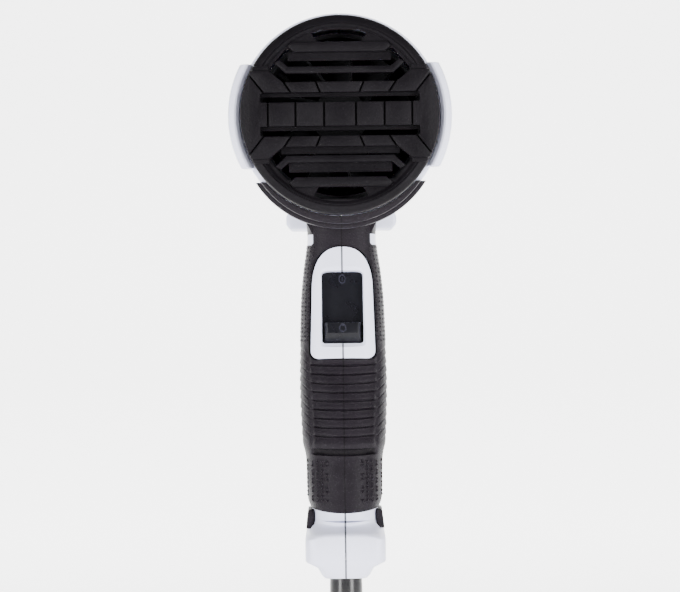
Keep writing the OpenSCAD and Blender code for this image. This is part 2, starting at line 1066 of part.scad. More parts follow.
module switch_slider() {
    low = -window_h / 2;
    color("#1b1b21")
        in_switch_frame() {
            translate([-plate_w / 2, plate_deep, low - switch_travel - 1])
                cube([plate_w, plate_t, window_h + switch_travel + 2]);
            translate([0, 0, low + slip])
                rotate([90, 0, 90])
                    translate([0, 0, -knob_w / 2])
                        linear_extrude(knob_w)
                            polygon([
                                [plate_deep + 0.1, 0], [plate_deep + 0.1, knob_h],
                                [0.4 - knob_rise, knob_h], [-knob_rise, knob_h - 1],
                                [-knob_rise, 3.2], [1, 0]
                            ]);
        }
}

module switch_actuator() {
    color("ivory")
        in_switch_frame()
            translate([-3, plate_deep + plate_t, -window_h / 2 + 1])
                cube([6, body_deep - plate_deep - plate_t - 0.3, 6]);
}

module switch_body() {
    color("black")
        in_switch_frame()
            translate([-body_size[0] / 2, body_deep, -body_size[2] / 2])
                cube([body_size[0], body_size[1], body_size[2]]);
}

module switch_terminals() {
    color("gold")
        in_switch_frame()
            for (x = [-3, 3], z = [-10, 0, 10])
                translate([x - 0.4, body_deep + body_size[1], z - 2])
                    cube([0.8, 5, 4]);
}

// ---- Wiring ----

function lead(s) =
    bend([
        [s * 6, mid_y - 6, under(block_drop) + 6.2], [s * 6, mid_y - 5, under(71)],
        [s * 5, mid_y + 1, under(63)], [s * 3.5, mid_y + 8, under(56)],
        [s * 3, mid_y + 10.8, under(50.5)], [s * 3, mid_y + 11, under(46.5)]
    ], 3);

module lead_live() {
    color("saddlebrown")
        tube_along(lead(1), 1.1, 8);
}

module lead_neutral() {
    color("royalblue")
        tube_along(lead(-1), 1.1, 8);
}

module terminal_block() {
    color("white")
        difference() {
            translate([-9, mid_y - 13, under(block_drop) - 6])
                cube([18, 13, 12]);
            for (x = [-6, 6])
                rod_z(1.6, under(block_drop) - 7, under(block_drop) + 7, [x, mid_y - 6]);
        }
}

module terminal_screws() {
    color("silver")
        for (x = [-3, 0, 3])
            rod_z(0.9, under(block_drop) + 6, under(block_drop) + 7.2, [x, mid_y - 10]);
}

module suppressor_capacitor() {
    color("gold")
        translate([-8, mid_y + 0.3, under(block_drop) - 6])
            cube([16, 7, 13]);
}

// ---- Cord entry ----

module cord_clamp() {
    color("dimgray")
        difference() {
            translate([-9.5, cord_y - 1, under(clamp_drop) - 4])
                cube([19, cord_r + 4, 8]);
            rod_z(cord_r + 0.05, under(clamp_drop) - 5, under(clamp_drop) + 5, [0, cord_y]);
        }
}

module clamp_screws() {
    color("silver")
        for (s = [-1, 1])
            translate([s * 7, cord_y + cord_r + 3, under(clamp_drop)])
                rotate([-90, 0, 0])
                    cylinder(r = 1.8, h = 1.4);
}

module cord_core() {
    color("black")
        rod_z(cord_r, sleeve_end, core_top, [0, cord_y]);
}

module cord_sleeve() {
    top = under(heel_foot);
    seat = top + seat_h + slip;
    color("black")
        translate([0, cord_y, 0])
            rotate_extrude()
                polygon([
                    [cord_r, sleeve_end], [cord_r + 1.2, sleeve_end], [sleeve_r - 0.3, top - 26],
                    [sleeve_r + 0.2, top - 8], [sleeve_r, top - 2], [sleeve_r, seat],
                    [sleeve_r + 2, seat], [sleeve_r + 2, seat + 3], [cord_r, seat + 3]
                ]);
}

// ---- Stored cord ----

module cord() {
    way = [for (p = ROUTE) [p[0], p[1], max(p[2] + sleeve_end, cord_low)]];
    color("black")
        tube_along(bend(way, 2), cord_r, 10);
}

module cord_coil() {
    color("black")
        translate([coil_at[0], coil_at[1], floor_z])
            rotate_extrude()
                translate([coil_mean - coil_bundle_w / 2, 0])
                    square([coil_bundle_w, coil_bundle_h]);
}

module cord_tail() {
    color("black")
        tube_along([for (p = TAIL) [p[0], p[1], cord_low]], cord_r, 10);
}

module coil_tie() {
    outer = coil_mean + coil_bundle_w / 2;
    color("white")
        translate([coil_at[0], coil_at[1], floor_z])
            difference() {
                translate([-4, coil_mean - coil_bundle_w / 2 - 1.2, 0])
                    cube([8, coil_bundle_w + 2.4, coil_bundle_h + 1.2]);
                rotate_extrude()
                    translate([coil_mean - coil_bundle_w / 2 - 0.05, -1])
                        square([coil_bundle_w + 0.1, coil_bundle_h + 1.05]);
            }
}

module plug_body() {
    w = plug_size[0];
    color("black")
        translate([plug_x, plug_y, floor_z])
            hull() {
                translate([-w / 2, -plug_size[1], 0])
                    cube([w, 8, plug_size[2]]);
                translate([-6, -10, 0])
                    cube([12, 10, 11]);
            }
}

module plug_pins() {
    color("silver")
        for (s = [-1, 1])
            translate([plug_x + s * pin_gap / 2, 0, floor_z + plug_size[2] / 2])
                rod_y(pin_d / 2, plug_y - plug_size[1] - pin_len, plug_y - plug_size[1]);
}

// ---- Fasteners ----

module housing_screws() {
    color("silver")
        for (p = SCREWS) {
            rod_x(screw_d / 2, -screw_end, head_x, p);
            difference() {
                rod_x(screw_head_d / 2, head_x, head_x + head_t, p);
                translate([head_x + head_t - 1, p[0] - 0.4, p[1] - screw_head_d])
                    cube([2, 0.8, 2 * screw_head_d]);
            }
        }
}

in_row_frame() housing_left();
in_row_frame() housing_right();
in_row_frame() grip_left();
in_row_frame() grip_right();
in_row_frame() heel_pads();
in_row_frame() rear_cap();
in_row_frame() front_collar();
in_row_frame() nozzle_tube();
in_row_frame() air_duct();
in_row_frame() fan_impeller();
in_row_frame() fan_shroud();
in_row_frame() motor_can();
in_row_frame() motor_endcap();
in_row_frame() motor_shaft();
in_row_frame() motor_rotor();
in_row_frame() commutator();
in_row_frame() motor_magnets();
in_row_frame() motor_brushes();
in_row_frame() bearing_rear();
in_row_frame() bearing_front();
in_row_frame() motor_board();
in_row_frame() rectifier_diodes();
in_row_frame() mica_cross();
in_row_frame() heating_coil_low();
in_row_frame() heating_coil_high();
in_row_frame() mica_tube();
in_row_frame() element_base();
in_row_frame() element_terminals();
in_row_frame() thermal_cutout();
in_row_frame() switch_slider();
in_row_frame() switch_actuator();
in_row_frame() switch_body();
in_row_frame() switch_terminals();
in_row_frame() lead_live();
in_row_frame() lead_neutral();
in_row_frame() terminal_block();
in_row_frame() terminal_screws();
in_row_frame() suppressor_capacitor();
in_row_frame() cord_clamp();
in_row_frame() clamp_screws();
in_row_frame() housing_screws();
in_row_frame() motor_screws();
in_row_frame() cord_core();
in_row_frame() cord_sleeve();
in_row_frame() cord();
in_row_frame() cord_coil();
in_row_frame() cord_tail();
in_row_frame() coil_tie();
in_row_frame() plug_body();
in_row_frame() plug_pins();
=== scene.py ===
"""Finishes the heat gun: its modelled pieces, materials, cord, lights and camera, round its frame.

Sizes are in millimetres from the middle of the rear cap's outer face: x to the right, y forward
along the barrel and z up. TO_ROW takes a mesh from there into the frame, in metres.
"""

import json
import math

import bmesh
import bpy
from mathutils import Matrix, Vector


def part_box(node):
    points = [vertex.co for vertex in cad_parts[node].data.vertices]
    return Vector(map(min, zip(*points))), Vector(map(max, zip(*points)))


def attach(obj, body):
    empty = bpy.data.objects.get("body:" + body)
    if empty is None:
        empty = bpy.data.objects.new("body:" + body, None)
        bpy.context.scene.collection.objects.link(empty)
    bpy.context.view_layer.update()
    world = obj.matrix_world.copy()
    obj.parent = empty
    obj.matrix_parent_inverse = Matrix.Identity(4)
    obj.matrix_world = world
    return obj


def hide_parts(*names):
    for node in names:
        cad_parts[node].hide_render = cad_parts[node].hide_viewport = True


bl_info = {
    "name": "Heat gun finisher",
    "version": (1, 0, 0),
    "blender": (4, 5, 0),
    "location": "View3D > Sidebar > Heat gun",
    "description": "Models the outside of a heat gun, its cord and its studio",
    "category": "Object",
}

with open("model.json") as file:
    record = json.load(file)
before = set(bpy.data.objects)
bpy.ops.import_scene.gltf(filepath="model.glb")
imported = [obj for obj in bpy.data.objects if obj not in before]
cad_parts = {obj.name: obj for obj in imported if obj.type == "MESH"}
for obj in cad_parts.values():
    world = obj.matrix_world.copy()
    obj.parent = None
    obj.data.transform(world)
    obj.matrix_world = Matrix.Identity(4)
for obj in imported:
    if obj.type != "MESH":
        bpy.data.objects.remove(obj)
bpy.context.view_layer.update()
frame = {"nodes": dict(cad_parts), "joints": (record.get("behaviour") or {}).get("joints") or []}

MM = 0.001
CAP_LOW, CAP_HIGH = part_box("rear_cap")
REAR_Y = CAP_LOW.y
AXIS_Z = (CAP_LOW.z + CAP_HIGH.z) / 2
TO_ROW = Matrix.Translation((0, REAR_Y, AXIS_Z)) @ Matrix.Scale(MM, 4)
TO_MM = TO_ROW.inverted()


def box_mm(node):
    """A CAD node's lowest and highest corners, in millimetres from the cap's middle."""
    low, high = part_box(node)
    return TO_MM @ low, TO_MM @ high


CAP_R = (CAP_HIGH.x - CAP_LOW.x) / 2 / MM
SHELL_R = CAP_R + 1.4
WALL = 2.4
BEAM_END = box_mm("housing_left")[1].y
COLLAR_END = box_mm("front_collar")[1].y
TUBE_END = box_mm("nozzle_tube")[1].y
TUBE_R, TUBE_WALL = 17.25, 0.8
SLEEVE_LOW, SLEEVE_HIGH = box_mm("cord_sleeve")
SLEEVE_Y, SLEEVE_R = (SLEEVE_LOW.y + SLEEVE_HIGH.y) / 2, 6.5
HEEL_Z = box_mm("housing_left")[0].z
FLOOR = box_mm("cord_coil")[0].z
CORD_R = (box_mm("cord_core")[1].x - box_mm("cord_core")[0].x) / 2


# ---- Sizes and colours that a user would change ----


def length(name, description, default):
    return bpy.props.FloatProperty(name=name, description=description, default=default)


def colour(name, description, default):
    return bpy.props.FloatVectorProperty(
        name=name,
        description=description,
        default=default,
        size=3,
        min=0,
        max=1,
        subtype="COLOR",
    )


class HeatGunSizes(bpy.types.PropertyGroup):
    """Sizes of the details, in millimetres"""

    rib_pitch: length("Rib pitch", "Distance between the grip's ribs", 3.55)
    rib_depth: length("Rib depth", "How deep the grooves between the ribs are", 1.15)
    seam: length("Seam", "Half the gap between the left and right halves", 0.15)
    edge: length("Edge", "How far hard edges are rounded", 0.45)
    tooth: length("Tooth", "Size of the raised triangles on the grip", 1.05)
    camera_distance: length("Camera distance", "From the cap to the camera", 1100.0)
    camera_drop: length("Camera drop", "How far the camera is below the barrel", 72.0)


class HeatGunColours(bpy.types.PropertyGroup):
    """Base colours of the finishes"""

    shell: colour("Shell", "The pale housing", (0.74, 0.755, 0.92))
    cap: colour("Cap", "The slatted cap and the collar", (0.0034, 0.0027, 0.0038))
    grip: colour("Grip", "The soft grip", (0.0082, 0.0063, 0.009))
    panel: colour("Panel", "The switch's slider", (0.0042, 0.0042, 0.0062))
    cord: colour("Cord", "The mains cord and its sleeve", (0.006, 0.0055, 0.0065))


# ---- Mesh helpers ----

# The angle in degrees above which an edge is shown sharp
SHARP = 32


def sizes():
    return bpy.context.scene.heat_gun_sizes


def colours():
    return bpy.context.scene.heat_gun_colours


def moved(bm, matrix):
    bmesh.ops.transform(bm, matrix=matrix, verts=bm.verts)
    return bm


def mesh_of(name, bm):
    """Turns a working mesh into a stored one."""
    mesh = bpy.data.meshes.new(name)
    bm.to_mesh(mesh)
    bm.free()
    return mesh


def shown(name, data):
    """An object of some data, linked to the scene."""
    made = bpy.data.objects.new(name, data)
    bpy.context.scene.collection.objects.link(made)
    return made


def new_verts(made):
    return [g for g in made["geom"] if isinstance(g, bmesh.types.BMVert)]


def piece_from(name, bm, material, body="root"):
    """Makes a finished object of a mesh that is in millimetres, and lets it ride on a body."""
    mesh = mesh_of(name, moved(bm, TO_ROW))
    mesh.shade_smooth()
    mesh.set_sharp_from_angle(angle=math.radians(SHARP))
    mesh.materials.append(material)
    piece = shown(name, mesh)
    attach(piece, body)
    return piece


def finish_normals(bm):
    bmesh.ops.remove_doubles(bm, verts=bm.verts, dist=1e-5)
    bmesh.ops.recalc_face_normals(bm, faces=bm.faces)
    return bm


def lathe(profile, steps=128, axis="Y", centre=(0, 0, 0), closed=True):
    """Spins an outline of (radius, distance along the axis) into a closed ring or rod."""
    bm = bmesh.new()
    along = Vector((0, 1, 0)) if axis == "Y" else Vector((0, 0, 1))
    points = [bm.verts.new(Vector((r, 0, 0)) + along * d) for r, d in profile]
    pairs = list(zip(points, points[1:]))
    if closed:
        pairs.append((points[-1], points[0]))
    edges = [bm.edges.new(pair) for pair in pairs]
    bmesh.ops.spin(
        bm,
        geom=points + edges,
        axis=along,
        cent=(0, 0, 0),
        steps=steps,
        angle=2 * math.pi,
        use_merge=True,
    )
    bmesh.ops.remove_doubles(bm, verts=bm.verts, dist=1e-4)
    bmesh.ops.translate(bm, vec=centre, verts=bm.verts)
    return finish_normals(bm)


def block(points, near, far, edge=0.0):
    """A prism of an outline in x and z between two distances from the rear face."""
    bm = bmesh.new()
    face = bm.faces.new([bm.verts.new((x, near, z)) for x, z in points])
    made = bmesh.ops.extrude_face_region(bm, geom=[face])
    bmesh.ops.translate(bm, vec=(0, far - near, 0), verts=new_verts(made))
    bmesh.ops.recalc_face_normals(bm, faces=bm.faces)
    if edge:
        rear = [e for e in bm.edges if all(abs(v.co.y - near) < 1e-6 for v in e.verts)]
        round_off(bm, rear, edge, 2)
    return bm


def round_off(bm, edges, size, segments=2):
    bmesh.ops.bevel(
        bm,
        geom=edges,
        offset=size,
        offset_type="OFFSET",
        affect="EDGES",
        segments=segments,
        profile=0.5,
        material=-1,
        clamp_overlap=True,
    )


def hard_edges(bm, degrees=30):
    limit = math.radians(degrees)
    return [
        e
        for e in bm.edges
        if len(e.link_faces) == 2 and e.calc_face_angle(0) > limit
    ]


def joined(parts):
    """One mesh of several closed ones."""
    whole = bmesh.new()
    for part in parts:
        mesh = mesh_of("part", part)
        whole.from_mesh(mesh)
        bpy.data.meshes.remove(mesh)
    return whole


def cut(bm, tool, operation="DIFFERENCE"):
    """Cuts, joins or keeps what two closed meshes share, and gives the new mesh."""
    body, cutter = shown("body", mesh_of("body", bm)), shown("tool", mesh_of("tool", tool))
    step = body.modifiers.new("cut", "BOOLEAN")
    step.operation, step.solver, step.object = operation, "EXACT", cutter
    view = bpy.context.evaluated_depsgraph_get()
    result = bmesh.new()
    result.from_mesh(body.evaluated_get(view).to_mesh())
    for used in (body, cutter):
        data = used.data
        bpy.data.objects.remove(used)
        bpy.data.meshes.remove(data)
    return result


def halved(bm, side, gap, groove=0.0):
    """Keeps the left or right half of a closed mesh, with its cut face closed."""
    bmesh.ops.bisect_plane(
        bm,
        geom=bm.verts[:] + bm.edges[:] + bm.faces[:],
        plane_co=(side * gap, 0, 0),
        plane_no=(side, 0, 0),
        clear_inner=True,
        dist=1e-5,
    )
    rim = [e for e in bm.edges if e.is_boundary]
    bmesh.ops.holes_fill(bm, edges=rim, sides=0)
    bmesh.ops.recalc_face_normals(bm, faces=bm.faces)
    if groove:
        seam = [e for e in rim if e.is_valid and e.calc_face_angle(0) > 1.0]
        round_off(bm, seam, groove, 1)
    return bm


def arc(radius, start, end, steps, centre=(0, 0)):
    """Points on a circle between two angles, in degrees."""
    return [
        (
            centre[0] + radius * math.cos(math.radians(start + (end - start) * i / steps)),
            centre[1] + radius * math.sin(math.radians(start + (end - start) * i / steps)),
        )
        for i in range(steps + 1)
    ]


def rectangle(left, right, low, high):
    return [(left, low), (right, low), (right, high), (left, high)]


def round_foot(half, low, corner, steps):
    """The lower edge of an outline, round at both corners."""
    left = arc(corner, 180, 270, steps, (corner - half, low + corner))
    return left + arc(corner, 270, 360, steps, (half - corner, low + corner))


# ---- The handle's shape ----

# Each station: its drop below the barrel, its middle's y, its width and depth as shares of
# the palm's, and the roundness of its outline
STATIONS = [
    (-14, 62, 0.95, 1.3, 3.4),
    (-4, 61, 0.84, 1.2, 3.8),
    (4, 60, 0.79, 1.14, 4),
    (11, 58.8, 0.81, 1.1, 4),
    (20, 57, 0.88, 1.06, 3.8),
    (31, 54.8, 0.94, 1.03, 3.6),
    (48, 51, 0.975, 1.01, 3.3),
    (64, 47.8, 1, 1, 2.9),
    (78, 45, 0.985, 0.98, 2.6),
    (90, 42.8, 0.945, 0.965, 2.6),
    (96, 41.6, 0.875, 0.945, 2.6),
    (108, 39.2, 0.852, 0.925, 2.6),
    (113.4, 38.2, 0.83, 0.915, 2.6),
    (116.6, 37.6, 0.765, 0.9, 2.6),
    (121, 36.6, 0.745, 0.88, 2.6),
]
PALM_W, PALM_D = 36.0, 44.5
GRIP_T = 1.8
GRIP_END = 116.4
COLLAR_DROP = 121.0
HEEL_DROP, HEEL_HALF, HEEL_FRONT = 126.0, 16.1, 54.0
RIB_FIRST, RIB_COUNT = 58.5, 9
GROOVE_DROP, GROOVE_HALF, GROOVE_DEEP = 93.2, 1.25, 1.5


def under(drop):
    """Height of a place that lies below the barrel's underside."""
    return -SHELL_R - drop


def station(drop):
    """Middle y, half width, half depth and roundness of the handle at a drop."""
    i = max(k for k in range(len(STATIONS) - 1) if k == 0 or STATIONS[k][0] <= drop)
    a, b = STATIONS[i], STATIONS[i + 1]
    before = STATIONS[max(i - 1, 0)]
    after = STATIONS[min(i + 2, len(STATIONS) - 1)]
    t = min(max((drop - a[0]) / (b[0] - a[0]), 0), 1)
    found = []
    for k in range(1, 5):
        run = b[0] - a[0]
        slope_a = (b[k] - before[k]) / max(b[0] - before[0], 1e-6) * run
        slope_b = (after[k] - a[k]) / max(after[0] - a[0], 1e-6) * run
        found.append(
            (2 * t**3 - 3 * t**2 + 1) * a[k]
            + (t**3 - 2 * t**2 + t) * slope_a
            + (3 * t**2 - 2 * t**3) * b[k]
            + (t**3 - t**2) * slope_b
        )
    return found[0], found[1] * PALM_W / 2, found[2] * PALM_D / 2, found[3]


def signed_power(value, exponent):
    return math.copysign(abs(value) ** exponent, value)


def smooth_step(low, high, value):
    t = min(max((value - low) / (high - low), 0), 1)
    return t * t * (3 - 2 * t)


def saw(drop, pitch):
    """A rib's cross section: a narrow deep groove, then a slope that rises to the next one."""
    t = ((drop - RIB_FIRST) / pitch + 0.13) % 1
    if t < 0.24:
        return smooth_step(0, 0.07, t) * (1 - 0.6 * smooth_step(0.15, 0.24, t))
    return 0.4 * (1 - smooth_step(0.24, 0.92, t))


def grip_dent(drop, x, y_share):
    """How far the grip's surface lies in from its plain form: ribs, channels and the groove."""
    s = sizes()
    across = abs(x)
    dent = 0.0
    last = RIB_FIRST + s.rib_pitch * (RIB_COUNT - 1)
    if y_share > 0.75:
        return dent
    edge = 13.0 - 1.2 * smooth_step(RIB_FIRST, last, drop)
    rear = 1 - smooth_step(edge, edge + 0.8, across) if y_share < 0 else 0.0
    ends = smooth_step(RIB_FIRST - 2.2, RIB_FIRST - 1.4, drop)
    ends *= 1 - smooth_step(last + 0.8, last + 2.0, drop)
    dent += s.rib_depth * saw(drop, s.rib_pitch) * ends * rear
    side = smooth_step(edge + 1.4, edge + 2.2, across)
    ends = smooth_step(48, 54, drop) * (1 - smooth_step(86, 90, drop))
    front = 1 - smooth_step(0.35, 0.7, y_share)
    dent += 0.6 * saw(drop + (across - 14) * 0.9, s.rib_pitch) * side * ends * front
    channel = 1 - smooth_step(0.2, 1.1, abs(across - edge - 1.1))
    if y_share < 0:
        ends = smooth_step(50, 56, drop) * (1 - smooth_step(88, 93, drop))
        dent += 0.4 * channel * ends
    if y_share < 0:
        groove = (drop - GROOVE_DROP) / GROOVE_HALF
        wide = 1 - smooth_step(11.6, 13.6, across)
        floor = 0.75 + 0.25 * max(-1, min(groove, 1))
        dent += GROOVE_DEEP * floor * (1 - smooth_step(0.8, 1.05, abs(groove))) * wide
        swell = smooth_step(last + 1.5, 90, drop) * (1 - smooth_step(90, 92.2, drop))
        dent -= 0.35 * swell * wide
    return dent


def smile(drop, x, y_share):
    """How far the ribs sag between the handle's sides."""
    if y_share > 0 or abs(x) > 13:
        return 0.0
    ends = smooth_step(55, 60, drop) * (1 - smooth_step(97, 103, drop))
    tail = smooth_step(GRIP_END - 9, GRIP_END, drop)
    return (0.55 * ends + 1.5 * tail) * (1 - (x / 13) ** 2)


def handle_ring(drop, inset, count, dented=False):
    """Points round the handle at a drop, drawn in by an inset."""
    middle, half_w, half_d, round_n = station(drop)
    points = []
    for i in range(count):
        angle = 2 * math.pi * i / count
        x = signed_power(math.cos(angle), 2 / round_n)
        y = signed_power(math.sin(angle), 2 / round_n)
        here, lower = inset, 0.0
        if dented:
            here += grip_dent(drop, x * half_w, y)
            lower = smile(drop, x * half_w, y)
        points.append(
            Vector((x * (half_w - here), middle + y * (half_d - here), under(drop + lower)))
        )
    return points


def loft(rings):
    """A closed skin through rings of points that all have the same count."""
    bm = bmesh.new()
    count = len(rings[0])
    made = bmesh.ops.create_circle(bm, cap_ends=False, segments=count, radius=1)
    ring = made["verts"]
    bm.verts.ensure_lookup_table()
    for v, p in zip(ring, rings[0]):
        v.co = p
    edges = list(bm.edges)
    first = list(ring)
    for points in rings[1:]:
        place = {v: i for i, v in enumerate(ring)}
        made = bmesh.ops.extrude_edge_only(bm, edges=edges)
        order = [None] * count
        for v in new_verts(made):
            old = next(e.other_vert(v) for e in v.link_edges if e.other_vert(v) in place)
            order[place[old]] = v
        for v, p in zip(order, points):
            v.co = p
        ring = order
        inside = set(ring)
        edges = [e for v in ring for e in v.link_edges if e.other_vert(v) in inside]
        edges = list(dict.fromkeys(edges))
    bm.faces.new(first)
    bm.faces.new(ring)
    bmesh.ops.recalc_face_normals(bm, faces=bm.faces)
    return bm


def handle_skin(inset, top, end, step, count, dented=False):
    """The handle between two drops; a dented one has its rings closer where the ribs are."""
    drops = []
    drop = top
    while drop < end - step / 2:
        drops.append(drop)
        fine = dented and RIB_FIRST - 4 < drop < GROOVE_DROP + 3
        drop += 0.24 if fine else step
    drops.append(end)
    return loft([handle_ring(d, inset, count, dented) for d in drops])


# The switch's own frame: its middle on the handle's back, and its lean forward
WINDOW_DROP, WINDOW_Y = 34.9, 31.1
SLIDE = Vector(frame["joints"][0]["axis"]) if frame["joints"] else Vector((0, 0, 1))
LEAN = math.atan2(SLIDE.y, SLIDE.z)
SWITCH = Matrix.Translation((0, WINDOW_Y, under(WINDOW_DROP))) @ Matrix.Rotation(-LEAN, 4, "X")


def leaning(bm):
    """Takes a mesh from the switch's own frame to its place on the handle's back."""
    return moved(bm, SWITCH)


WINDOW_W, WINDOW_H, WINDOW_R = 16.8, 29.8, 1.2
FRAME_W, FRAME_LOW, FRAME_HIGH, FRAME_R = 4.9, 6.3, 9.6, 3.6
# The room behind the window for the plate: half its width and length, and its rear face
SLIDE_HALF, SLIDE_LONG, SLIDE_FACE = 9.5, 27, 3.75


def window_points(grow=0.0):
    half = WINDOW_W / 2 + grow
    low, high = -WINDOW_H / 2 - grow, WINDOW_H / 2 + grow
    points = round_foot(half, low, WINDOW_R, 5)
    crown = [
        (half * signed_power(math.cos(math.radians(a)), 0.35),
         high - 2.4 + 2.4 * math.sin(math.radians(a)) ** 0.55)
        for a in range(6, 180, 12)
    ]
    return points + crown


def frame_points(grow=0.0):
    half = WINDOW_W / 2 + FRAME_W + grow
    low = -WINDOW_H / 2 - FRAME_LOW - grow
    top = WINDOW_H / 2 + FRAME_HIGH + grow
    points = round_foot(half, low, FRAME_R, 8)
    shoulder = top - 17.5
    for a in range(4, 180, 4):
        x, rise = math.cos(math.radians(a)), math.sin(math.radians(a))
        points.append((half * signed_power(x, 0.84), shoulder + (top - shoulder) * rise**0.84))
    return [(x * (0.985 - 0.055 * smooth_step(-16, 12, z)), z) for x, z in points]


def window_cutter():
    """The switch's window, dished where it meets the frame's face."""
    rings = []
    for y, grow in ((3.9, 0), (1.5, 0), (0.75, 0.12), (-0.35, 1.5), (-6, 5)):
        rings.append([Vector((x, y, z)) for x, z in window_points(grow)])
    return loft(rings)


# ---- Materials ----


def node(tree, kind, **values):
    made = tree.nodes.new(kind)
    for key, value in values.items():
        if key in made.inputs:
            made.inputs[key].default_value = value
        else:
            setattr(made, key, value)
    return made


def mixed(tree, factor, a, b):
    """Mixes two colours by a factor that comes out of a socket."""
    mix = node(tree, "ShaderNodeMix", data_type="RGBA")
    tree.links.new(factor, mix.inputs[0])
    for socket, value in ((mix.inputs[6], a), (mix.inputs[7], b)):
        if isinstance(value, bpy.types.NodeSocket):
            tree.links.new(value, socket)
        else:
            socket.default_value = (*value, 1)
    return mix.outputs[2]


def ranged(tree, socket, low, high, to_low, to_high):
    step = node(tree, "ShaderNodeMapRange")
    tree.links.new(socket, step.inputs["Value"])
    keys = ("From Min", "From Max", "To Min", "To Max")
    for key, value in zip(keys, (low, high, to_low, to_high)):
        step.inputs[key].default_value = value
    return step.outputs["Result"]


def noise(tree, where, scale, detail=3.0, rough=0.55):
    made = node(tree, "ShaderNodeTexNoise", Scale=scale, Detail=detail, Roughness=rough)
    tree.links.new(where, made.inputs["Vector"])
    return made.outputs["Fac"]


def finish_of(name, base, rough, metal=0.0, grain=900, grain_bump=0.12, blotch=60,
              variation=0.12, rough_spread=0.08, painted_glint=0.0, stretch=None,
              specular=0.5):
    """A moulded, rolled or drawn surface: fine grain in the bump, slow change in the colour, and,
    if asked, light specks that are painted glints.
    """
    material = bpy.data.materials.new(name)
    material.use_nodes = True
    tree = material.node_tree
    shader = tree.nodes["Principled BSDF"]
    where = node(tree, "ShaderNodeTexCoord").outputs["Object"]
    if stretch:
        mapping = node(tree, "ShaderNodeMapping", Scale=stretch)
        tree.links.new(where, mapping.inputs["Vector"])
        where = mapping.outputs["Vector"]
    slow = noise(tree, where, blotch, 4)
    fine = noise(tree, where, grain, 2, 0.6)
    dark = tuple(c * (1 - variation) for c in base)
    light = tuple(min(c * (1 + variation) + variation * 0.01, 1) for c in base)
    shade = mixed(tree, ranged(tree, slow, 0.3, 0.7, 0, 1), dark, light)
    # Painted highlight: light specks mixed into the colour stand in for glints off the grain.
    if painted_glint:
        painted_glints = ranged(tree, fine, 0.58, 0.68, 0, painted_glint)
        shade = mixed(tree, painted_glints, shade, tuple(min(c * 2.6 + 0.02, 1) for c in base))
    tree.links.new(shade, shader.inputs["Base Color"])
    spread = ranged(tree, slow, 0.3, 0.7, rough - rough_spread, rough + rough_spread)
    tree.links.new(spread, shader.inputs["Roughness"])
    bump = node(tree, "ShaderNodeBump", Strength=grain_bump, Distance=0.0004)
    tree.links.new(fine, bump.inputs["Height"])
    tree.links.new(bump.outputs["Normal"], shader.inputs["Normal"])
    shader.inputs["Metallic"].default_value = metal
    shader.inputs["Specular IOR Level"].default_value = specular
    return material


def paint_shade_where(material, limits, amount):
    """Paints shade into a finish: darkens it where a place lies within all of some spans: (axis,
    middle, half in mm).
    """
    tree = material.node_tree
    axes = place_axes(tree)[1]
    inside = None
    for axis, middle, half in limits:
        within = node(tree, "ShaderNodeMath", operation="COMPARE")
        tree.links.new(axes[axis], within.inputs[0])
        within.inputs[1].default_value = middle
        within.inputs[2].default_value = half * MM
        if inside:
            both = node(tree, "ShaderNodeMath", operation="MULTIPLY")
            tree.links.new(inside, both.inputs[0])
            tree.links.new(within.outputs[0], both.inputs[1])
            inside = both.outputs[0]
        else:
            inside = within.outputs[0]
    multiplied(material, inside, (amount, amount, amount, 1))


def place_axes(tree):
    """The part's own place, and its split into x, y and z."""
    where = node(tree, "ShaderNodeTexCoord").outputs["Object"]
    split = node(tree, "ShaderNodeSeparateXYZ")
    tree.links.new(where, split.inputs["Vector"])
    return where, split.outputs


def multiplied(material, factor, tint):
    """Multiplies a finish's colour by a tint, as far as a factor says."""
    tree = material.node_tree
    base = tree.nodes["Principled BSDF"].inputs["Base Color"]
    shaded = node(tree, "ShaderNodeMix", data_type="RGBA", blend_type="MULTIPLY")
    tree.links.new(base.links[0].from_socket, shaded.inputs[6])
    for socket, value in ((shaded.inputs[0], factor), (shaded.inputs[7], tint)):
        if isinstance(value, bpy.types.NodeSocket):
            tree.links.new(value, socket)
        else:
            socket.default_value = value
    tree.links.new(shaded.outputs[2], base)


def hot_steel():
    """Drawn steel with the straw and blue tints that heat leaves near the mouth."""
    material = finish_of("nozzle_steel", (0.62, 0.60, 0.57), 0.3, metal=1.0, grain=300,
                         grain_bump=0.1, stretch=(1, 0.05, 1), variation=0.06)
    tree = material.node_tree
    where, axes = place_axes(tree)
    mouth = REAR_Y + TUBE_END * MM
    wander = noise(tree, where, 45, 2)
    along = node(tree, "ShaderNodeMath", operation="MULTIPLY_ADD")
    tree.links.new(wander, along.inputs[0])
    along.inputs[1].default_value = 0.012
    tree.links.new(axes["Y"], along.inputs[2])
    ramp = node(tree, "ShaderNodeValToRGB")
    tree.links.new(
        ranged(tree, along.outputs[0], mouth - 0.07, mouth + 0.006, 0, 1), ramp.inputs["Fac"]
    )
    stops = [
        (0.0, (1, 1, 1)),
        (0.35, (0.95, 0.82, 0.55)),
        (0.6, (0.72, 0.45, 0.40)),
        (0.78, (0.40, 0.42, 0.72)),
        (1.0, (0.62, 0.66, 0.74)),
    ]
    ramp.color_ramp.elements[0].color = (*stops[0][1], 1)
    ramp.color_ramp.elements[1].color = (*stops[-1][1], 1)
    for place, tint in stops[1:-1]:
        ramp.color_ramp.elements.new(place).color = (*tint, 1)
    multiplied(material, 1.0, ramp.outputs["Color"])
    return material


FINISHES = {}


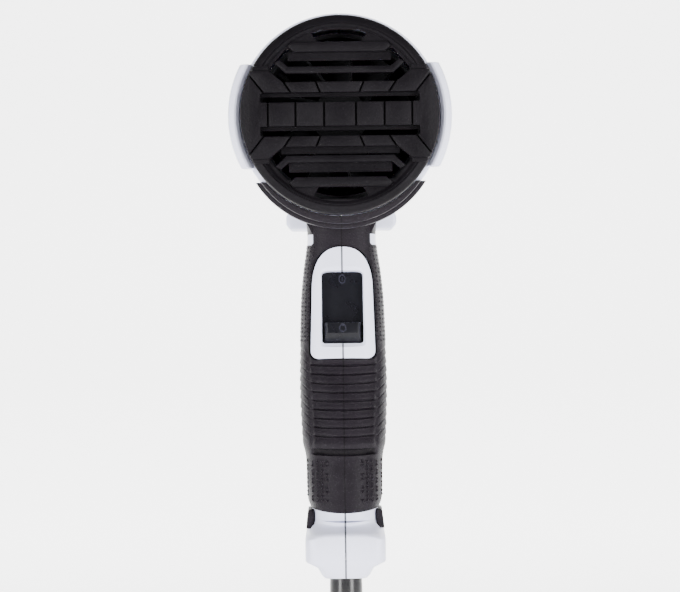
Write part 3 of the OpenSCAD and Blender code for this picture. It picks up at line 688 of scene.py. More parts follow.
def finishes():
    """Every finish of the gun, made once."""
    if FINISHES:
        return FINISHES
    c = colours()
    FINISHES.update(
        shell=finish_of("white_shell", tuple(c.shell), 0.42, grain=1400, grain_bump=0.1,
                        variation=0.015, blotch=25),
        cap=finish_of("charcoal_plastic", tuple(c.cap), 0.46, grain=1500, grain_bump=0.3,
                      variation=0.15, specular=0.07),
        # The grip's light specks are painted glints.
        grip=finish_of("soft_grip", tuple(c.grip), 0.45, grain=1700, grain_bump=0.6,
                       variation=0.16, painted_glint=0.3, specular=0.09),
        panel=finish_of("switch_black", tuple(c.panel), 0.3, grain=1300, grain_bump=0.12,
                        specular=0.22),
        # Painted highlight: the marks' colour is five times the panel's, lighter to stand in for
        # light catching the raised marks.
        mark=finish_of("mark_black", tuple(min(v * 5, 1) for v in c.panel), 0.25, specular=0.5),
        cord=finish_of("cord_rubber", tuple(c.cord), 0.2, grain=1100, grain_bump=0.05,
                       variation=0.2, rough_spread=0.04, specular=0.35),
        nozzle=hot_steel(),
        steel=finish_of("sheet_steel", (0.55, 0.56, 0.57), 0.34, metal=1.0, grain=420,
                        grain_bump=0.12, stretch=(1, 0.1, 1)),
        ground=finish_of("ground_steel", (0.62, 0.63, 0.64), 0.22, metal=1.0, grain=600),
        screw=finish_of("screw_steel", (0.55, 0.55, 0.56), 0.3, metal=1.0, grain=500),
        copper=finish_of("copper_winding", (0.48, 0.19, 0.07), 0.36, metal=1.0, grain=350,
                         grain_bump=0.5, stretch=(1, 6, 1)),
        bronze=finish_of("bronze", (0.45, 0.30, 0.12), 0.5, metal=1.0, grain=900),
        brass=finish_of("brass_parts", (0.58, 0.40, 0.14), 0.3, metal=1.0, grain=700),
        plated=finish_of("plug_brass", (0.60, 0.55, 0.42), 0.22, metal=1.0, grain=700),
        wire=finish_of("heating_wire", (0.22, 0.20, 0.19), 0.5, metal=1.0, grain=900),
        ferrite=finish_of("ferrite", (0.03, 0.03, 0.033), 0.6, grain=700, grain_bump=0.3),
        carbon=finish_of("carbon", (0.012, 0.012, 0.012), 0.5, grain=900),
        dark=finish_of("black_plastic", (0.012, 0.012, 0.013), 0.45, grain=1200),
        guide=finish_of("guide_plastic", (0.008, 0.008, 0.009), 0.6, grain=1200,
                        specular=0.15),
        ivory=finish_of("ivory_plastic", (0.55, 0.52, 0.43), 0.45, grain=1200),
        board=finish_of("circuit_board", (0.012, 0.09, 0.035), 0.35, grain=500, variation=0.2),
        mica=finish_of("mica", (0.42, 0.30, 0.15), 0.35, grain=180, grain_bump=0.4,
                       variation=0.35, blotch=90),
        ceramic=finish_of("ceramic", (0.74, 0.70, 0.62), 0.3, grain=600),
        brown=finish_of("wire_brown", (0.10, 0.035, 0.012), 0.35, grain=900),
        blue=finish_of("wire_blue", (0.01, 0.05, 0.30), 0.35, grain=900),
        yellow=finish_of("capacitor_yellow", (0.62, 0.34, 0.015), 0.3, grain=900),
        tie=finish_of("tie_plastic", (0.65, 0.65, 0.64), 0.4, grain=900),
    )
    # Painted shade: the shell's colour is darkened within 0.4 mm of the seam, where the gap
    # between the halves lies in shade.
    paint_shade_where(FINISHES["shell"], [("X", 0, 0.4)], 0.3)
    # Painted shade: the grip's colour is darkened along its middle seam, where the gap lies in
    # shade.
    paint_shade_where(FINISHES["grip"], [("X", 0, 0.22)], 0.35)
    # Painted shade: the grip's colour is darkened across the wide groove at the back of the
    # handle, where its floor lies in shade.
    groove_z = (TO_ROW @ Vector((0, 0, under(GROOVE_DROP + 0.3)))).z
    paint_shade_where(
        FINISHES["grip"], [("X", 0, 12.2), ("Y", -0.018, 12), ("Z", groove_z, 1.35)], 0.45
    )
    return FINISHES


# The finish of each CAD node that is shown as it is
NODE_FINISHES = {
    "air_duct": "steel",
    "fan_impeller": "guide",
    "fan_shroud": "guide",
    "motor_can": "steel",
    "motor_endcap": "dark",
    "motor_shaft": "ground",
    "motor_rotor": "copper",
    "commutator": "copper",
    "motor_magnets": "ferrite",
    "motor_brushes": "carbon",
    "bearing_rear": "bronze",
    "bearing_front": "bronze",
    "motor_board": "board",
    "rectifier_diodes": "dark",
    "mica_cross": "mica",
    "heating_coil_low": "wire",
    "heating_coil_high": "wire",
    "mica_tube": "mica",
    "element_base": "ceramic",
    "element_terminals": "brass",
    "thermal_cutout": "steel",
    "switch_actuator": "ivory",
    "switch_body": "dark",
    "switch_terminals": "brass",
    "lead_live": "brown",
    "lead_neutral": "blue",
    "terminal_block": "ivory",
    "terminal_screws": "screw",
    "suppressor_capacitor": "yellow",
    "cord_clamp": "dark",
    "clamp_screws": "screw",
    "housing_screws": "screw",
    "motor_screws": "screw",
    "cord_core": "cord",
}


# ---- Housing ----


# The barrel: its front radius, where its taper starts, and where its shoulder meets the cap
FRONT_R, TAPER_START, SHOULDER_BACK = 31.0, 80.0, 16.25
# The wings: how far they stand out, half their height, and their chamfer
WING_RISE, WING_HALF, WING_CHAMFER = 3.3, 21.0, 3.0
# The chin: half its width, its depth under the barrel, its corner, and its ends
CHIN_HALF, CHIN_DROP, CHIN_R, CHIN_BACK, CHIN_FRONT = 23.0, 2.4, 2.6, 62, 116


def barrel_profile(inset):
    """Outline of the barrel from its spigot to its front end, as (radius, y)."""
    spigot = CAP_R - 2.25 - inset
    front = FRONT_R - inset
    shoulder = SHELL_R - inset
    start = 6 if not inset else 5
    end = BEAM_END if not inset else BEAM_END + 1
    back = SHOULDER_BACK if not inset else 19.6
    points = [(0, start), (spigot, start), (spigot, back)]
    points += [(shoulder - 0.9, back), (shoulder - 0.25, back + 0.3), (shoulder, back + 1)]
    points += [(shoulder, 60), (shoulder, TAPER_START)]
    steps = 14
    for i in range(1, steps + 1):
        t = i / steps
        swell = (1 - math.cos(math.pi * t)) / 2
        share = 0.35 * swell + 0.65 * t
        along = TAPER_START + (end - 0.6 - TAPER_START) * t
        points.append((shoulder + (front - shoulder) * share, along))
    points += [(front - 0.5, end), (0, end)]
    return points


def wing_points():
    reach, inner = SHELL_R + WING_RISE, WING_HALF - WING_CHAMFER
    short = reach - WING_CHAMFER
    return [
        (-reach, -inner), (-short, -WING_HALF), (short, -WING_HALF), (reach, -inner),
        (reach, inner), (short, WING_HALF), (-short, WING_HALF), (-reach, inner),
    ]


def wings():
    """The bulges at both sides of the barrel, level with the cap."""
    inner, reach = CAP_R + 0.3, SHELL_R + WING_RISE
    profile = [
        (inner, 10), (inner + 1.2, 8.2), (reach - 2.4, 8), (reach - 0.9, 8.6), (reach, 10.2),
        (reach, 40), (reach - 0.3, 60), (reach - 1.6, 74), (SHELL_R - 1, 84), (SHELL_R - 1, 17),
        (inner, 17),
    ]
    ring = lathe(profile, 180)
    slab = block(wing_points(), 0, 120)
    far = [v for v in slab.verts if v.co.y > 60]
    bmesh.ops.scale(slab, vec=(1, 1, 0.78), verts=far)
    shaped = cut(ring, slab, "INTERSECT")
    round_off(shaped, hard_edges(shaped, 38), 0.5, 2)
    return shaped


def seam_lip():
    """The lip inside the barrel that closes the seam between the two shells."""
    top = SHELL_R - 2.45
    return block(rectangle(-2, 1.6, top - 0.9, top), 20, BEAM_END - 50)


def neck_strip():
    """The band of the shell that shows at both sides of the neck."""
    return handle_skin(0.12, 5.3, 9.7, 1.1, 96)


def chin():
    """The block under the barrel, in front of the handle."""
    half, low = CHIN_HALF, under(CHIN_DROP)
    outline = round_foot(half, low, CHIN_R, 8)
    outline += [(half, low + 5), (half - 6, -26), (6 - half, -26), (-half, low + 5)]
    bm = block(outline, CHIN_BACK, CHIN_FRONT)
    ends = [e for e in bm.edges if abs(e.verts[0].co.y - e.verts[1].co.y) < 1e-6]
    round_off(bm, ends, 1.6, 3)
    return bm


def heel_ring(drop, half, back, front, corner, count=64, arch=0.0):
    """A rectangle with round corners across the heel, whose rear may be arched."""
    points = []
    middle = (back + front) / 2
    deep = (front - back) / 2
    for i in range(count):
        angle = 2 * math.pi * (i + 0.5) / count
        x = signed_power(math.cos(angle), corner)
        y = signed_power(math.sin(angle), corner)
        lift = arch * (1 - x * x) * smooth_step(0.2, -0.6, y)
        points.append(Vector((x * half, middle + y * deep, under(drop) + lift)))
    return points


def heel(inset=0.0):
    """The scooped foot at the handle's end, whose flat back stands on a bench."""
    top = station(COLLAR_DROP)
    half, front, foot = HEEL_HALF - inset, HEEL_FRONT - inset, -HEEL_Z - SHELL_R
    rings = [
        heel_ring(COLLAR_DROP - 0.8, top[1] - 0.9 - inset, top[0] - top[2] + 0.9 + inset,
                  top[0] + top[2] - 0.9 - inset, 0.62, arch=-1.6),
    ]
    scoop = 7
    back_top = top[0] - top[2] + 0.9 + inset
    for i in range(scoop + 1):
        t = i / scoop
        rings.append(
            heel_ring(
                COLLAR_DROP + 0.3 + (HEEL_DROP - COLLAR_DROP) * t + inset * 0.5,
                top[1] - 0.6 - inset + (half - top[1] + 0.4 + inset) * t**1.8,
                back_top + (1.5 + inset - back_top) * t**2.2,
                top[0] + top[2] - 0.6 + (front - top[0] - top[2] + 0.6) * t,
                0.6 - 0.32 * t,
                arch=-1.6 + 3.5 * t,
            )
        )
    rings += [
        heel_ring(HEEL_DROP + 1.0, half - 0.1, 0.3 + inset, front, 0.24, arch=1.9),
        heel_ring(HEEL_DROP + 1.6, half, inset, front, 0.22, arch=1.9),
        heel_ring(foot - 7.2, half, inset, front - 0.4, 0.22),
        heel_ring(foot - 6.7, half - 0.35, 0.25 + inset, front - 0.8, 0.22),
        heel_ring(foot - 4.6, half - 4.4, 2.3 + inset, front - 4.5, 0.24),
        heel_ring(foot - 4.2, half - 4.9, 2.8 + inset, front - 5.0, 0.24),
        heel_ring(foot - 1.4 - inset, half - 6.3, 5.2 + inset, front - 7.4, 0.25),
        heel_ring(foot - inset, half - 7.4, 7.4 + inset, front - 9.4, 0.28),
    ]
    return loft(rings)


def shell_solid():
    """Both shells as one solid, before it is halved."""
    solid = lathe(barrel_profile(0), 180)
    solid = cut(solid, wings(), "UNION")
    solid = cut(solid, chin(), "UNION")
    core = handle_skin(GRIP_T + 0.05, -14, COLLAR_DROP, 3, 64)
    solid = cut(solid, core, "UNION")
    collar = handle_skin(0.2, GRIP_END + 0.2, COLLAR_DROP, 1.1, 64)
    round_off(collar, hard_edges(collar, 50), 0.35, 2)
    solid = cut(solid, collar, "UNION")
    solid = cut(solid, heel(), "UNION")
    solid = cut(solid, neck_strip(), "UNION")
    rim = cut(
        handle_skin(-0.3, 2, 60, 2, 96), leaning(block(frame_points(), -4, 9)), "INTERSECT"
    )
    round_off(rim, hard_edges(rim, 50), 0.8, 3)
    solid = cut(solid, rim, "UNION")
    solid = cut(solid, lathe(barrel_profile(WALL), 96))
    solid = cut(solid, handle_skin(GRIP_T + WALL, -14, COLLAR_DROP, 4, 48))
    solid = cut(solid, heel(WALL))
    solid = cut(solid, leaning(window_cutter()))
    slot = rectangle(-SLIDE_HALF, SLIDE_HALF, -SLIDE_LONG, SLIDE_LONG)
    solid = cut(solid, leaning(block(slot, SLIDE_FACE, 10)))
    hole = rectangle(0, SLEEVE_R + 0.25, HEEL_Z - 3, HEEL_Z + 7)
    solid = cut(solid, lathe(hole, 64, "Z", (0, SLEEVE_Y, 0)))
    solid = cut(solid, joined([pad_block(side, 0.12) for side in (-1, 1)]))
    return cut(solid, screw_recesses())


SCREW_PLACES = [(BEAM_END - 12, 24.6), (BEAM_END - 12, -24.6), (68, -63.4), (52, -112.4),
                (10, -175.9)]
SCREW_HEAD_X, SCREW_HEAD_R = 6.5, 3.25


def screw_recesses():
    """The wells over the screw heads, in the right shell and the right grip."""
    wells = []
    for y, z in SCREW_PLACES:
        well = block(arc(SCREW_HEAD_R, 0, 350, 35), SCREW_HEAD_X, 60)
        turn = Matrix.Translation((0, y, z)) @ Matrix.Rotation(-math.pi / 2, 4, "Z")
        wells.append(moved(well, turn))
    return joined(wells)


def pad_block(side, grow=0.0):
    """A soft pad let into one side of the handle's end."""
    top, low, back, front = 116.9, 124.5, 25.0, 47.0
    outline = [
        (back - grow, under(low) - grow), (front - 2 + grow, under(low) - grow),
        (front + grow, under(low) + 2), (front + grow, under(top) + grow),
        (back - grow, under(top) + grow),
    ]
    bm = block(outline, 12.6 - grow, 15.9 + (2 if grow else 0))
    for v in bm.verts:
        if v.co.z > under(top) - 2 and v.co.y > 13:
            v.co.y -= 0.9
    turn = Matrix(((0, side, 0, 0), (1, 0, 0, 0), (0, 0, 1, 0), (0, 0, 0, 1)))
    moved(bm, turn)
    bmesh.ops.recalc_face_normals(bm, faces=bm.faces)
    if not grow:
        round_off(bm, hard_edges(bm, 30), 0.5, 2)
    return bm


# ---- Soft grip ----

# The band's two steps (radius, rear end, front end), how far its middle lies below the
# barrel's, and the share of the barrel's radius below the middle at which it ends
BAND_STEPS = ((SHELL_R - 0.7, 18.6, 27), (SHELL_R - 2.5, 13.6, 60))
BAND_SAG, BAND_TOP = 4.2, 0.63
# The webs from the band to the neck: their foot, height, inner edge and ends
FIN_FOOT, FIN_TALL, FIN_IN, FIN_BACK, FIN_FRONT = -47.9, 12, 8, 38.4, 74


def grip_band():
    """The two-step band that hugs the underside of the barrel."""
    parts = []
    for radius, near, far in BAND_STEPS:
        profile = [(0, near), (radius - 0.8, near), (radius - 0.2, near + 0.3),
                   (radius, near + 0.9), (radius, far - 2), (radius - 1.2, far), (0, far)]
        parts.append(lathe(profile, 160, centre=(0, 0, -BAND_SAG)))
    band = cut(parts[0], parts[1], "UNION")
    rim = lathe([(0, 10), (CAP_R - 0.1, 10), (CAP_R - 0.1, 15.75), (0, 15.75)], 160)
    band = cut(band, rim)
    return cut(band, block(rectangle(-60, 60, -BAND_TOP * SHELL_R, 60), 0, 90))


def fins():
    """The curved webs from the band down to the neck."""
    made = []
    for side in (-1, 1):
        curve = [(side * (11.4 + 0.42 * rise + 0.012 * rise**2), FIN_FOOT + rise)
                 for rise in range(FIN_TALL + 1)]
        outline = [(side * FIN_IN, FIN_FOOT), *curve, (side * FIN_IN, FIN_FOOT + FIN_TALL)]
        made.append(block(outline, FIN_BACK, FIN_FRONT))
    return joined(made)


def neck_notches():
    """What is left out of the grip at both sides of the neck, where the shell shows."""
    made = []
    for side in (-1, 1):
        inner, top, low = side * 11.7, under(5.2), under(9.8)
        outline = [(inner, low + 0.8), (inner + side * 0.8, low), (side * 30, low),
                   (side * 30, top), (inner, top)]
        made.append(block(outline, 10, 110))
    return joined(made)


def grip_solid():
    """Both halves of the soft grip as one solid, before it is halved."""
    skin = handle_skin(0, -4, GRIP_END, 0.6, 144, dented=True)
    grip = cut(skin, grip_band(), "UNION")
    grip = cut(grip, fins(), "UNION")
    barrel = lathe([(0, -5), (CAP_R - 0.1, -5), (CAP_R - 0.1, 16.2), (SHELL_R + 0.05, 16.2),
                    (SHELL_R + 0.05, 130), (0, 130)], 180)
    grip = cut(grip, barrel)
    grip = cut(grip, neck_notches())
    grip = cut(grip, handle_skin(GRIP_T, -14, COLLAR_DROP, 3, 64))
    grip = cut(grip, leaning(block(frame_points(0.02), -6, 14)))
    ditch = cut(leaning(block(frame_points(0.75), -6, 14)), handle_skin(1.1, -4, 64, 2, 96))
    grip = cut(grip, ditch)
    gap = chin()
    bmesh.ops.scale(gap, vec=(1.02, 1, 1), verts=gap.verts)
    grip = cut(grip, gap)
    return cut(grip, screw_recesses())


def rear_point(drop, x):
    """A point on the grip's back at a drop and a distance across, and its normal."""
    middle, half_w, half_d, round_n = station(drop)
    share = min(abs(x) / half_w, 0.995)
    y = (1 - share**round_n) ** (1 / round_n) * half_d
    grad_x = math.copysign(share ** (round_n - 1) / half_w, x)
    grad_y = (y / half_d) ** (round_n - 1) / half_d
    normal = Vector((grad_x, -grad_y, 0)).normalized()
    return Vector((x, middle - y, under(drop))), normal


def side_point(drop, y_share, side):
    """A point on the grip's side, at a share of its half depth, and its normal."""
    middle, half_w, half_d, round_n = station(drop)
    x = (1 - abs(y_share) ** round_n) ** (1 / round_n) * half_w
    grad_x = (x / half_w) ** (round_n - 1) / half_w
    grad_y = math.copysign(abs(y_share) ** (round_n - 1) / half_d, y_share)
    normal = Vector((side * grad_x, grad_y, 0)).normalized()
    return Vector((side * x, middle + y_share * half_d, under(drop))), normal


def tooth(place, normal, size, half_turns, height):
    """A raised triangle on the grip, pointing down the handle or, half a turn on, up it."""
    bm = bmesh.new()
    bmesh.ops.create_cone(bm, cap_ends=True, segments=3, radius1=size, radius2=size * 0.08,
                          depth=height)
    out = Matrix.Translation(place + normal * (height / 2 - 0.06))
    lean = normal.to_track_quat("Z", "Y").to_matrix().to_4x4()
    return moved(bm, out @ lean @ Matrix.Rotation(math.pi * half_turns, 4, "Z"))


# The triangles: the distance between their rows, the first low row and the first side row
TOOTH_ROW, LOW_TEETH, SIDE_TEETH = 1.72, 97.4, 10.8


def teeth(side):
    """All the raised triangles on one half of the grip."""
    size = sizes().tooth
    made = []
    for row in range(10):
        drop = LOW_TEETH + row * TOOTH_ROW
        half_w = station(drop)[1]
        for column in range(6):
            x = 7.1 + column * 1.95
            if x < half_w - 0.3 and (column > 0 or row % 3 < 2):
                place, normal = rear_point(drop, side * x)
                made.append(tooth(place, normal, size * 1.1, (row + column) % 2, 0.62))
    for row in range(23):
        drop = SIDE_TEETH + row * TOOTH_ROW
        half_w = station(drop)[1]
        for column, inward in enumerate((3.2, 2.0, 0.9)):
            place, normal = rear_point(drop, side * (half_w - inward))
            made.append(tooth(place, normal, size * 0.85, (row + column) % 2, 0.38))
        for column in range(6):
            place, normal = side_point(drop, -0.42 + column * 0.1, side)
            made.append(tooth(place, normal, size * 0.85, (row + column) % 2, 0.22))
    return joined(made)


# ---- Rear cap ----

DISC_R = CAP_R - 5.2
# Half heights of the cap's rows, from its middle up to its rim
BAND, SLOT, ROW, ARM, LEDGE, GAP, RIM = 4.75, 8.6, 12.85, 17.5, 19.3, 24.7, 27.6
SLOT_END = CAP_R - 8.4
# Where the middle band is split across, and half the width of each split
SPLITS = (-28.6, -17.6, -6.3, 6.3, 17.6, 28.6)
GROOVE = 0.34


def flipped(points, sx, sz):
    """An outline mirrored across or up and down, in the same winding."""
    turned = [(sx * x, sz * z) for x, z in points]
    return turned[::-1] if sx * sz < 0 else turned


def edge_points(radius, z0, z1, steps):
    """Points down a circle's right edge between two heights."""
    heights = [z0 + (z1 - z0) * i / steps for i in range(steps + 1)]
    return [(math.sqrt(radius**2 - z * z), z) for z in heights]


def four_ways(points, near, far, edge):
    return [block(flipped(points, sx, sz), near, far, edge) for sx in (-1, 1) for sz in (-1, 1)]


def both_ways(points, near, far, edge=0.0):
    return [block(flipped(points, 1, sz), near, far, edge) for sz in (-1, 1)]


def grille():
    """The slatted disc: a middle band and arms that stand proud, and bars behind them."""
    edge = sizes().edge
    g = GROOVE
    parts = []
    for left, right in zip(SPLITS, SPLITS[1:]):
        parts.append(block(rectangle(left + g, right - g, -BAND, BAND), 0, 3.4, edge))
    outer = CAP_R - 0.7
    for sx in (-1, 1):
        upper = [(SPLITS[-1] + g, BAND), (SLOT_END, BAND), (SLOT_END, SLOT - 0.5),
                 (30.4 + g, SLOT), (36.2, 15.6)]
        lower = [(x, -z) for x, z in upper[::-1]]
        outline = upper + edge_points(outer, 15.4, -15.4, 24) + lower
        parts.append(block(flipped(outline, sx, 1), 0, 5.0, edge * 0.7))
    arm = [(19.4 + g, SLOT), (30.3 - g, SLOT), (35.9, 16.0), (35.6, ARM), (28.2, ARM),
           (22.2 + g, ROW)]
    parts += four_ways(arm, 0, 4.6, edge * 1.5)
    ledge = [(28.0, ARM - 1.2), (35.4, ARM - 1.2), (34.2, LEDGE), (28.4, LEDGE)]
    parts += four_ways(ledge, 1.3, 4.6, edge * 0.7)
    row = [(-7.8 + g, SLOT), (7.8 - g, SLOT), (9.5 - g, ROW), (g - 9.5, ROW)]
    parts += both_ways(row, 0, 3.4, edge)
    row = [(7.8 + g, SLOT), (19.4 - g, SLOT), (22.2 - g, ROW), (9.5 + g, ROW)]
    parts += four_ways(row, 0, 3.4, edge)
    bar = [(-21.3, 16.2), (21.3, 16.2), (26.0, 20.6), (23.7, 21.9), (20.4, 19.1), (-20.4, 19.1),
           (-23.7, 21.9), (-26.0, 20.6)]
    parts += both_ways(bar, 1.6, 4.4, edge * 1.6)
    bar = [(-18.0, GAP), (18.0, GAP), (20.6, 27.0), (19.0, RIM + 1.2), (-19.0, RIM + 1.2),
           (-20.6, 27.0)]
    parts += both_ways(bar, 2.0, 4.6, edge * 1.6)
    for high, low, wide in ((GAP, 21.4, 20.5), (SLOT, SLOT - 1.5, SLOT_END),
                            (-BAND, -BAND - 1.5, SLOT_END), (-ROW, -ROW - 2.7, 23.5),
                            (-19.1, -22.8, 20.5)):
        parts.append(block(rectangle(-wide, wide, low, high), 4.2, 5.8))
    backing = lathe([(0, 3.0), (DISC_R + 0.6, 3.0), (DISC_R + 0.6, 5.0), (0, 5.0)], 128)
    holes = [block(rectangle(-SLOT_END, SLOT_END, z0, z1), -3, 9)
             for z0, z1 in ((BAND, SLOT), (-SLOT, -BAND))]
    holes += both_ways([(-24.8, ROW), (24.8, ROW), (27.5, 16.4), (27.5, 18.8), (21.4, GAP + 1.2),
                        (-21.4, GAP + 1.2), (-27.5, 18.8), (-27.5, 16.4)], -3, 9)
    holes += both_ways([(-11.0, 32.2), (-7.9, RIM), (7.9, RIM), (11.0, 32.2), (7.5, 33.6),
                        (-7.5, 33.6)], -3, 9)
    return joined([cut(backing, joined(holes))] + parts)


def cap_ring():
    """The cap's ring, with a chamfer at both edges, and its skirt."""
    inner, outer, back = DISC_R - 0.2, CAP_R - 0.35, 1.5
    profile = [
        (inner, back + 3.4), (inner, back + 1.1), (inner + 0.25, back + 0.7),
        (inner + 1.3, back), (outer - 4.0, back), (outer - 3.75, back + 0.4),
        (outer - 3.45, back + 0.4), (outer - 3.2, back), (outer - 2.9, back),
        (outer - 2.6, back + 0.12),
        (outer - 1.9, back + 0.75), (outer - 1.4, back + 0.95), (outer - 0.5, back + 1.7),
        (outer - 0.1, back + 2.6), (outer, back + 3.4), (outer, 15.6), (outer - 0.3, 16),
        (outer - 2, 16), (outer - 2, 4.9),
    ]
    return lathe(profile, 192)


# ---- Front end ----


# The collar: the radius of its spigot and of its rim, and how many slots it has
SPIGOT_R, COLLAR_R, COLLAR_SLOTS = 28.3, 30.4, 16


def collar_mesh():
    """The slotted collar at the barrel's front end."""
    near, end, r = BEAM_END, COLLAR_END, COLLAR_R
    profile = [
        (SPIGOT_R - WALL, near - 8), (SPIGOT_R, near - 8), (SPIGOT_R, near + 0.1),
        (r, near + 0.1), (r + 0.5, near + 0.5), (r + 0.5, near + 3.6), (r + 0.2, near + 4.2),
        (r - 0.3, near + 4.6), (r - 0.3, near + 5.6), (r, near + 6), (26.9, end - 3),
        (26.5, end - 1.4), (25.6, end - 0.4), (24.4, end), (20.2, end), (19.75, end - 0.4),
        (19.65, end - 1), (19.65, end - 2.4), (24.45, end - 3.4), (SPIGOT_R - WALL, near + 4),
    ]
    collar = lathe(profile, 160)
    slots = []
    for k in range(COLLAR_SLOTS):
        turn = Matrix.Rotation(2 * math.pi * (k + 0.5) / COLLAR_SLOTS, 4, "Y")
        out = Matrix.Translation((0, BEAM_END + 9, 21.5))
        slots.append(moved(block(rectangle(-1.1, 1.1, 0, 12), 0, 13), turn @ out))
    return cut(collar, joined(slots))


def tube_mesh():
    """The steel outlet tube, with its rolled lip, its step and its flange."""
    r, wall, step = TUBE_R, TUBE_WALL, COLLAR_END + 2
    flange = box_mm("nozzle_tube")[0].y
    profile = [
        (r - wall, flange), (r - wall, TUBE_END - 0.3), (r - wall + 0.15, TUBE_END - 0.08),
        (r - wall / 2, TUBE_END), (r - 0.15, TUBE_END - 0.08), (r, TUBE_END - 0.3),
        (r, step + 1), (r + 0.12, step + 0.7), (r + 0.4, step), (r + 0.4, flange + 4),
        (r + 3, flange + wall), (r + 5.5, flange + wall), (r + 5.5, flange),
    ]
    return lathe(profile, 160)


# ---- Switch ----

# The knob's lowest edge, half width, height and face, and the plate's face behind it
KNOB_BASE, KNOB_HALF, KNOB_H, KNOB_TOP = -WINDOW_H / 2 + 0.25, 7.45, 8.4, -1.2
PLATE_FACE = 4.0


def slider_mesh():
    """The sliding plate and its knob."""
    half_plate = WINDOW_W / 2 + 0.8
    low, high = -WINDOW_H / 2 - 11, WINDOW_H / 2 + 1
    plate = block(rectangle(-half_plate, half_plate, low, high), PLATE_FACE, PLATE_FACE + 1.4)
    rings, corner = [], 0.5
    steps = (
        (4.1, 0, 0, KNOB_H), (1.6, 0, 0.05, KNOB_H), (-0.6, -0.75, 3.0, KNOB_H - 0.25),
        (KNOB_TOP, -1.15, 3.55, KNOB_H - 0.75),
    )
    for y, grow, low, top in steps:
        wide = KNOB_HALF + grow
        ring = round_foot(wide, low, corner, 3)
        ring += arc(corner, 0, 90, 3, (wide - corner, top - corner))
        ring += arc(corner, 90, 180, 3, (corner - wide, top - corner))
        rings.append([Vector((x, y, z + KNOB_BASE)) for x, z in ring])
    knob = loft(rings)
    round_off(knob, hard_edges(knob, 28), 0.22, 2)
    return leaning(joined([plate, knob]))


def mark_mesh():
    """The marks that stand on the plate and on the knob."""
    face, foot = KNOB_TOP - 0.3, KNOB_TOP + 0.2
    ring = lathe([(1.15, face), (1.5, face), (1.6, foot), (1.05, foot)], 32,
                 centre=(0, 0, KNOB_BASE + 5.6))
    bars = []
    for side in (-1, 1):
        out = Matrix.Translation((side * 1.15, 0, KNOB_BASE + 6.55))
        turn = Matrix.Rotation(-side * math.radians(48), 4, "Y")
        bars.append(moved(block(rectangle(-0.17, 0.17, 0, 1.5), face, foot), out @ turn))
    face, foot = PLATE_FACE - 0.16, PLATE_FACE + 0.1
    oval = lathe([(1.1, face), (1.4, face), (1.5, foot), (1.0, foot)], 40)
    bmesh.ops.scale(oval, vec=(1, 1, 1.35), verts=oval.verts)
    middle = WINDOW_H / 2 - 2.9
    bmesh.ops.translate(oval, vec=(0, 0, middle), verts=oval.verts)
    bar = block(rectangle(-0.16, 0.16, middle - 0.8, middle + 0.8), face, foot)
    return leaning(joined([ring, *bars, oval, bar]))


# ---- Cord ----

# The cord's way down from the sleeve's end, in millimetres, and from the coil to the plug
ROUTE = [
    (0, 32, 0), (0, 32, -8), (0, 32, -16), (0, 35.5, -33.5), (0, 45.5, -48.5),
    (0, 60.5, -58.5), (0, 78, -62), (0, 91, -62), (0, 104, -62),
]
TAIL_END = (-80, 38)
COIL_R = 41.0
COIL_AT = (-41.0, 104.0)
COIL_TURNS = 6.5
PLUG_MIDDLE, PIN_R = 5.5, 2.4
# The place of each turn in the bundle: out from its middle and up, in cord diameters
TURN_PLACES = [(0.53, 0), (-0.53, 0), (-0.53, 1), (0.53, 1), (0.53, 2), (-0.53, 2), (0.0, 2.88)]


def curve_through(points, steps):
    """A smooth line through points, with some steps in each gap."""
    line = []
    for i in range(len(points) - 1):
        a = points[max(i - 1, 0)]
        b, c = points[i], points[i + 1]
        d = points[min(i + 2, len(points) - 1)]
        for k in range(steps):
            t = k / steps
            line.append(
                0.5 * (2 * b + (c - a) * t + (2 * a - 5 * b + 4 * c - d) * t**2
                       + (3 * b - a - 3 * c + d) * t**3)
            )
    return line + [points[-1]]


def cord_line():
    """The whole cord: down to the surface, round the coil, and out to the plug."""
    start = SLEEVE_LOW.z
    low = FLOOR + CORD_R + 0.1
    way = [Vector((x, y, max(z + start, low))) for x, y, z in ROUTE]
    line = curve_through(way, 4)[:-1]
    per_turn = 40
    total = int(COIL_TURNS * per_turn)
    for i in range(total + 1):
        turns = i / per_turn
        k = min(int(turns), len(TURN_PLACES) - 1)
        after = TURN_PLACES[min(k + 1, len(TURN_PLACES) - 1)]
        change = smooth_step(0.80, 1.0, turns - k)
        out = TURN_PLACES[k][0] + (after[0] - TURN_PLACES[k][0]) * change
        if turns < 0.2:
            out = TURN_PLACES[0][0] * smooth_step(0, 0.2, turns)
        up = TURN_PLACES[k][1] + (after[1] - TURN_PLACES[k][1]) * change
        radius = COIL_R + out * 2 * CORD_R
        angle = 2 * math.pi * turns
        line.append(Vector((COIL_AT[0] + radius * math.cos(angle),
                            COIL_AT[1] + radius * math.sin(angle),
                            low + up * 2 * CORD_R * 0.985)))
    last = line[-1]
    plug_z = FLOOR + PLUG_MIDDLE
    tail = [last, Vector((last.x, last.y - 14, last.z - 3.0)),
            Vector((last.x + 0.3, last.y - 30, last.z - 11)),
            Vector((-81.2, 58, plug_z + 3)), Vector((-80.3, 48, plug_z + 0.4)),
            Vector((*TAIL_END, plug_z))]
    return line[:-1] + curve_through(tail, 5)


def cord_piece():
    """The cord's object, its line in the frame, and the line's length."""
    line = [TO_ROW @ p for p in cord_line()]
    curve = bpy.data.curves.new("mains_cord", "CURVE")
    curve.dimensions = "3D"
    curve.bevel_depth = CORD_R * MM
    curve.bevel_resolution = 5
    curve.use_fill_caps = True
    curve.use_path = False
    spline = curve.splines.new("POLY")
    spline.points.add(len(line) - 1)
    for point, place in zip(spline.points, line):
        point.co = (*place, 1)
    curve.materials.append(finishes()["cord"])
    run = sum((b - a).length for a, b in zip(line, line[1:]))
    return shown("mains_cord", curve), line, run


